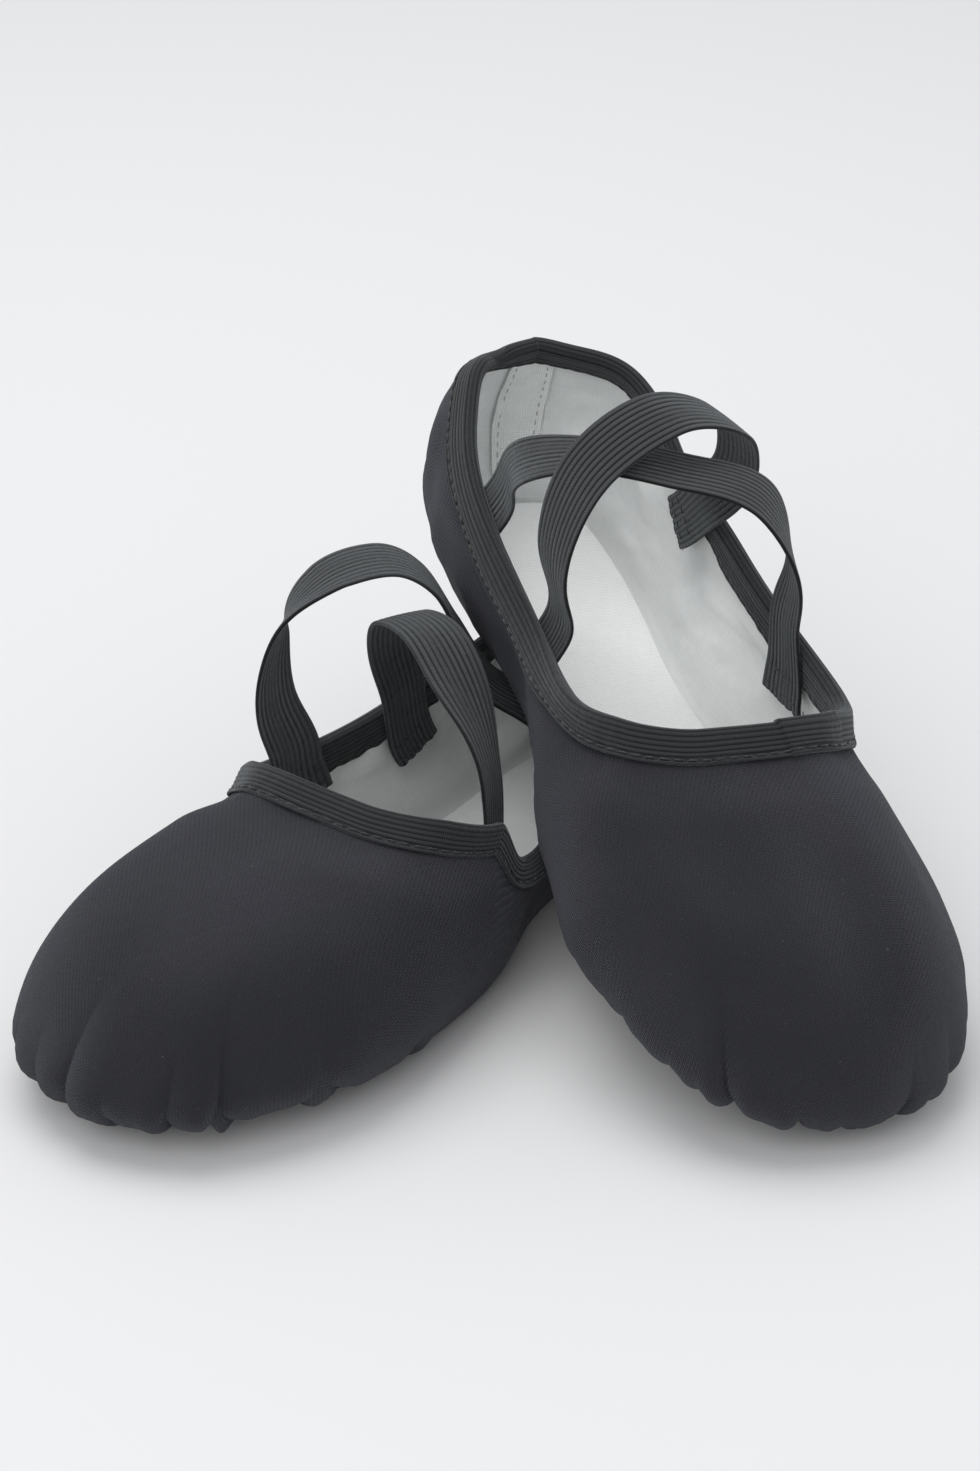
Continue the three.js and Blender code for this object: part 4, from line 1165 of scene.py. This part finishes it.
share = np.linspace(-1, 1, rib_count * 6 + 1)
rib = rib_wave((share + 1) / 2 * rib_count, 1.0)
plump = (0.72 + 0.28 * rib) * np.sqrt(np.clip(1 - (np.abs(share) * 0.985) ** 30, 0, 1))
section_share = np.concatenate([share, share[::-1]])
section_lift = np.concatenate([plump, -plump[::-1]])
# Painted shade in the grooves between the strap's ribs
groove_shade = np.concatenate([1 - rib, 1 - rib[::-1]])

for (side, which), (from_x, to_x, over) in strap_routes.items():
    wall = walls[side]
    roots = [band_root(wall, x, sign, np.array(next_over), *shape) for x, sign, next_over, shape in
             zip((from_x, to_x), (-1, 1), (over[0], over[-1]), tab_shapes[side, which])]
    start, end = (root["point"] + root["up"] * sewn_clear for root in roots)
    way = np.array([start, start + roots[0]["up"] * strap_rise, *over, end + roots[1]["up"] * strap_rise, end])
    centre, length = even_route(way.astype(float), strap_steps)
    tangent = unit(np.gradient(centre, axis=0))
    across = unit((roots[1]["point"] - roots[0]["point"]) * (1, 1, 0))
    level = np.array([across[1], -across[0], 0])
    rng = np.random.default_rng(71 + list(strap_routes).index((side, which)))
    first_tab, second_tab = (tab_rows(wall, root, rng) for root in roots)
    free_rows = []
    for k in range(strap_steps):
        root = roots[0] if k < strap_steps / 2 else roots[1]
        rise = min(k, strap_steps - 1 - k) / (strap_steps - 1) * length
        near = smooth_step(1 - rise / (0.45 * length))
        width = level * (1 - near) + root["forward"] * near
        width = unit(width - tangent[k] * (width @ tangent[k]))
        if which == "lateral" and k < strap_steps / 2:
            # The outer half of the strap lies a little edge-on
            edge_on = edge_on_angle * smooth_step(rise, 3, 14)
            edge_on *= 1 - smooth_step(rise, 0.22 * length, 0.45 * length)
            width = width * math.cos(edge_on) + np.cross(width, tangent[k]) * math.sin(edge_on)
        face = np.cross(width, tangent[k])
        bow = 0.35 * (1 - section_share ** 2) * smooth_step(rise, 8, 30)
        free = (centre[k] + np.outer(section_share, width) * strap_width / 2
                + np.outer(section_lift * strap_thickness / 2 + bow, face))
        sewn_share = 1 - smooth_step(rise, 0, strap_rise * 2)
        free_rows.append(free * (1 - sewn_share) + sewn_row(wall, root, -rise) * sewn_share)
    grid = np.stack(first_tab[:0:-1] + free_rows + second_tab[1:])
    tab_share = np.arange(1, tab_steps + 1) / tab_steps
    row_run = np.concatenate([-roots[0]["tab"] * tab_share[::-1], np.linspace(0, length, strap_steps),
                              length + roots[1]["tab"] * tab_share])
    # The band is springy, so it leaves its sewn ends in an easy bend
    from_end = np.minimum(row_run, length - row_run)
    nearby = np.exp(-((row_run[:, None] - row_run) / 4.5) ** 2 / 2) * np.gradient(row_run)
    nearby /= nearby.sum(1, keepdims=True)
    eased = smooth_step(from_end, -10, -4) * (1 - smooth_step(from_end, 22, 40))
    grid = grid + (np.einsum("ij,jkl->ikl", nearby, grid) - grid) * eased[:, None, None]
    uv = np.stack(np.meshgrid(row_run / 1000, section_share * strap_width / 2000, indexing="ij"), -1)
    uv = np.concatenate([uv, uv[:, :1]], 1)
    cloth = Cloth()
    index = cloth.grid(grid, uv, True, mark=np.broadcast_to(groove_shade, grid.shape[:2]))
    half = len(share)
    for row in (0, -1):
        first, second = index[row, :half], index[row, half:][::-1]
        cloth.bridge(*((second, first) if row == 0 else (first, second)), False)
    band = cloth.piece(f"{side}_{which}_elastic", side, strap_elastic)
    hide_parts(f"{side}_{which}_strap", f"{side}_{which}_strap_outer_tab",
                f"{side}_{which}_strap_inner_tab")
    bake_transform(band)

    rows = []
    for root in roots:
        for down in (root["tab"] - 6.5, root["tab"] - 2.3):
            line_t, depth = tab_place(root, np.linspace(-0.86, 0.86, 60) * strap_width / 2, down)
            rows.append((on_wall(wall, line_t, depth, tab_off(root, depth) + 0.52),
                         look_up(wall, "normals", line_t, depth)))
    row = stitch_rows(f"{side}_{which}_tab_stitches", side, rows, 2.0, 1.0, 0.16, 0.2, thread_paint)

    paths, ups = [], []
    for root in roots:
        cut_edge = sewn_row(wall, root, root["tab"] - 0.6)[:len(share)]
        before = sewn_row(wall, root, root["tab"] - 2.6)[:len(share)]
        inward = look_up(wall, "normals", np.array(root["t"]), np.array(root["tab"]))
        for _ in range(fray_count):
            k = int(rng.uniform(0.03, 0.97) * len(share))
            at = cut_edge[k] + inward * rng.uniform(-0.9, -0.2)
            down = unit(cut_edge[k] - before[k])
            lean = root["forward"] * rng.uniform(-0.5, 0.5) + inward * rng.uniform(0.0, 0.35)
            reach = rng.uniform(0.9, 2.1)
            bend = root["forward"] * rng.uniform(-0.4, 0.4)
            f = np.linspace(0, 1, 5)[:, None]
            paths.append(at + (down + lean) * reach * f + bend * reach * f * f)
            ups.append(np.tile(inward, (5, 1)))
    fray = thread_piece(f"{side}_{which}_raw_ends", side, np.array(paths), np.array(ups), 0.09, thread_paint,
                        sides=4)
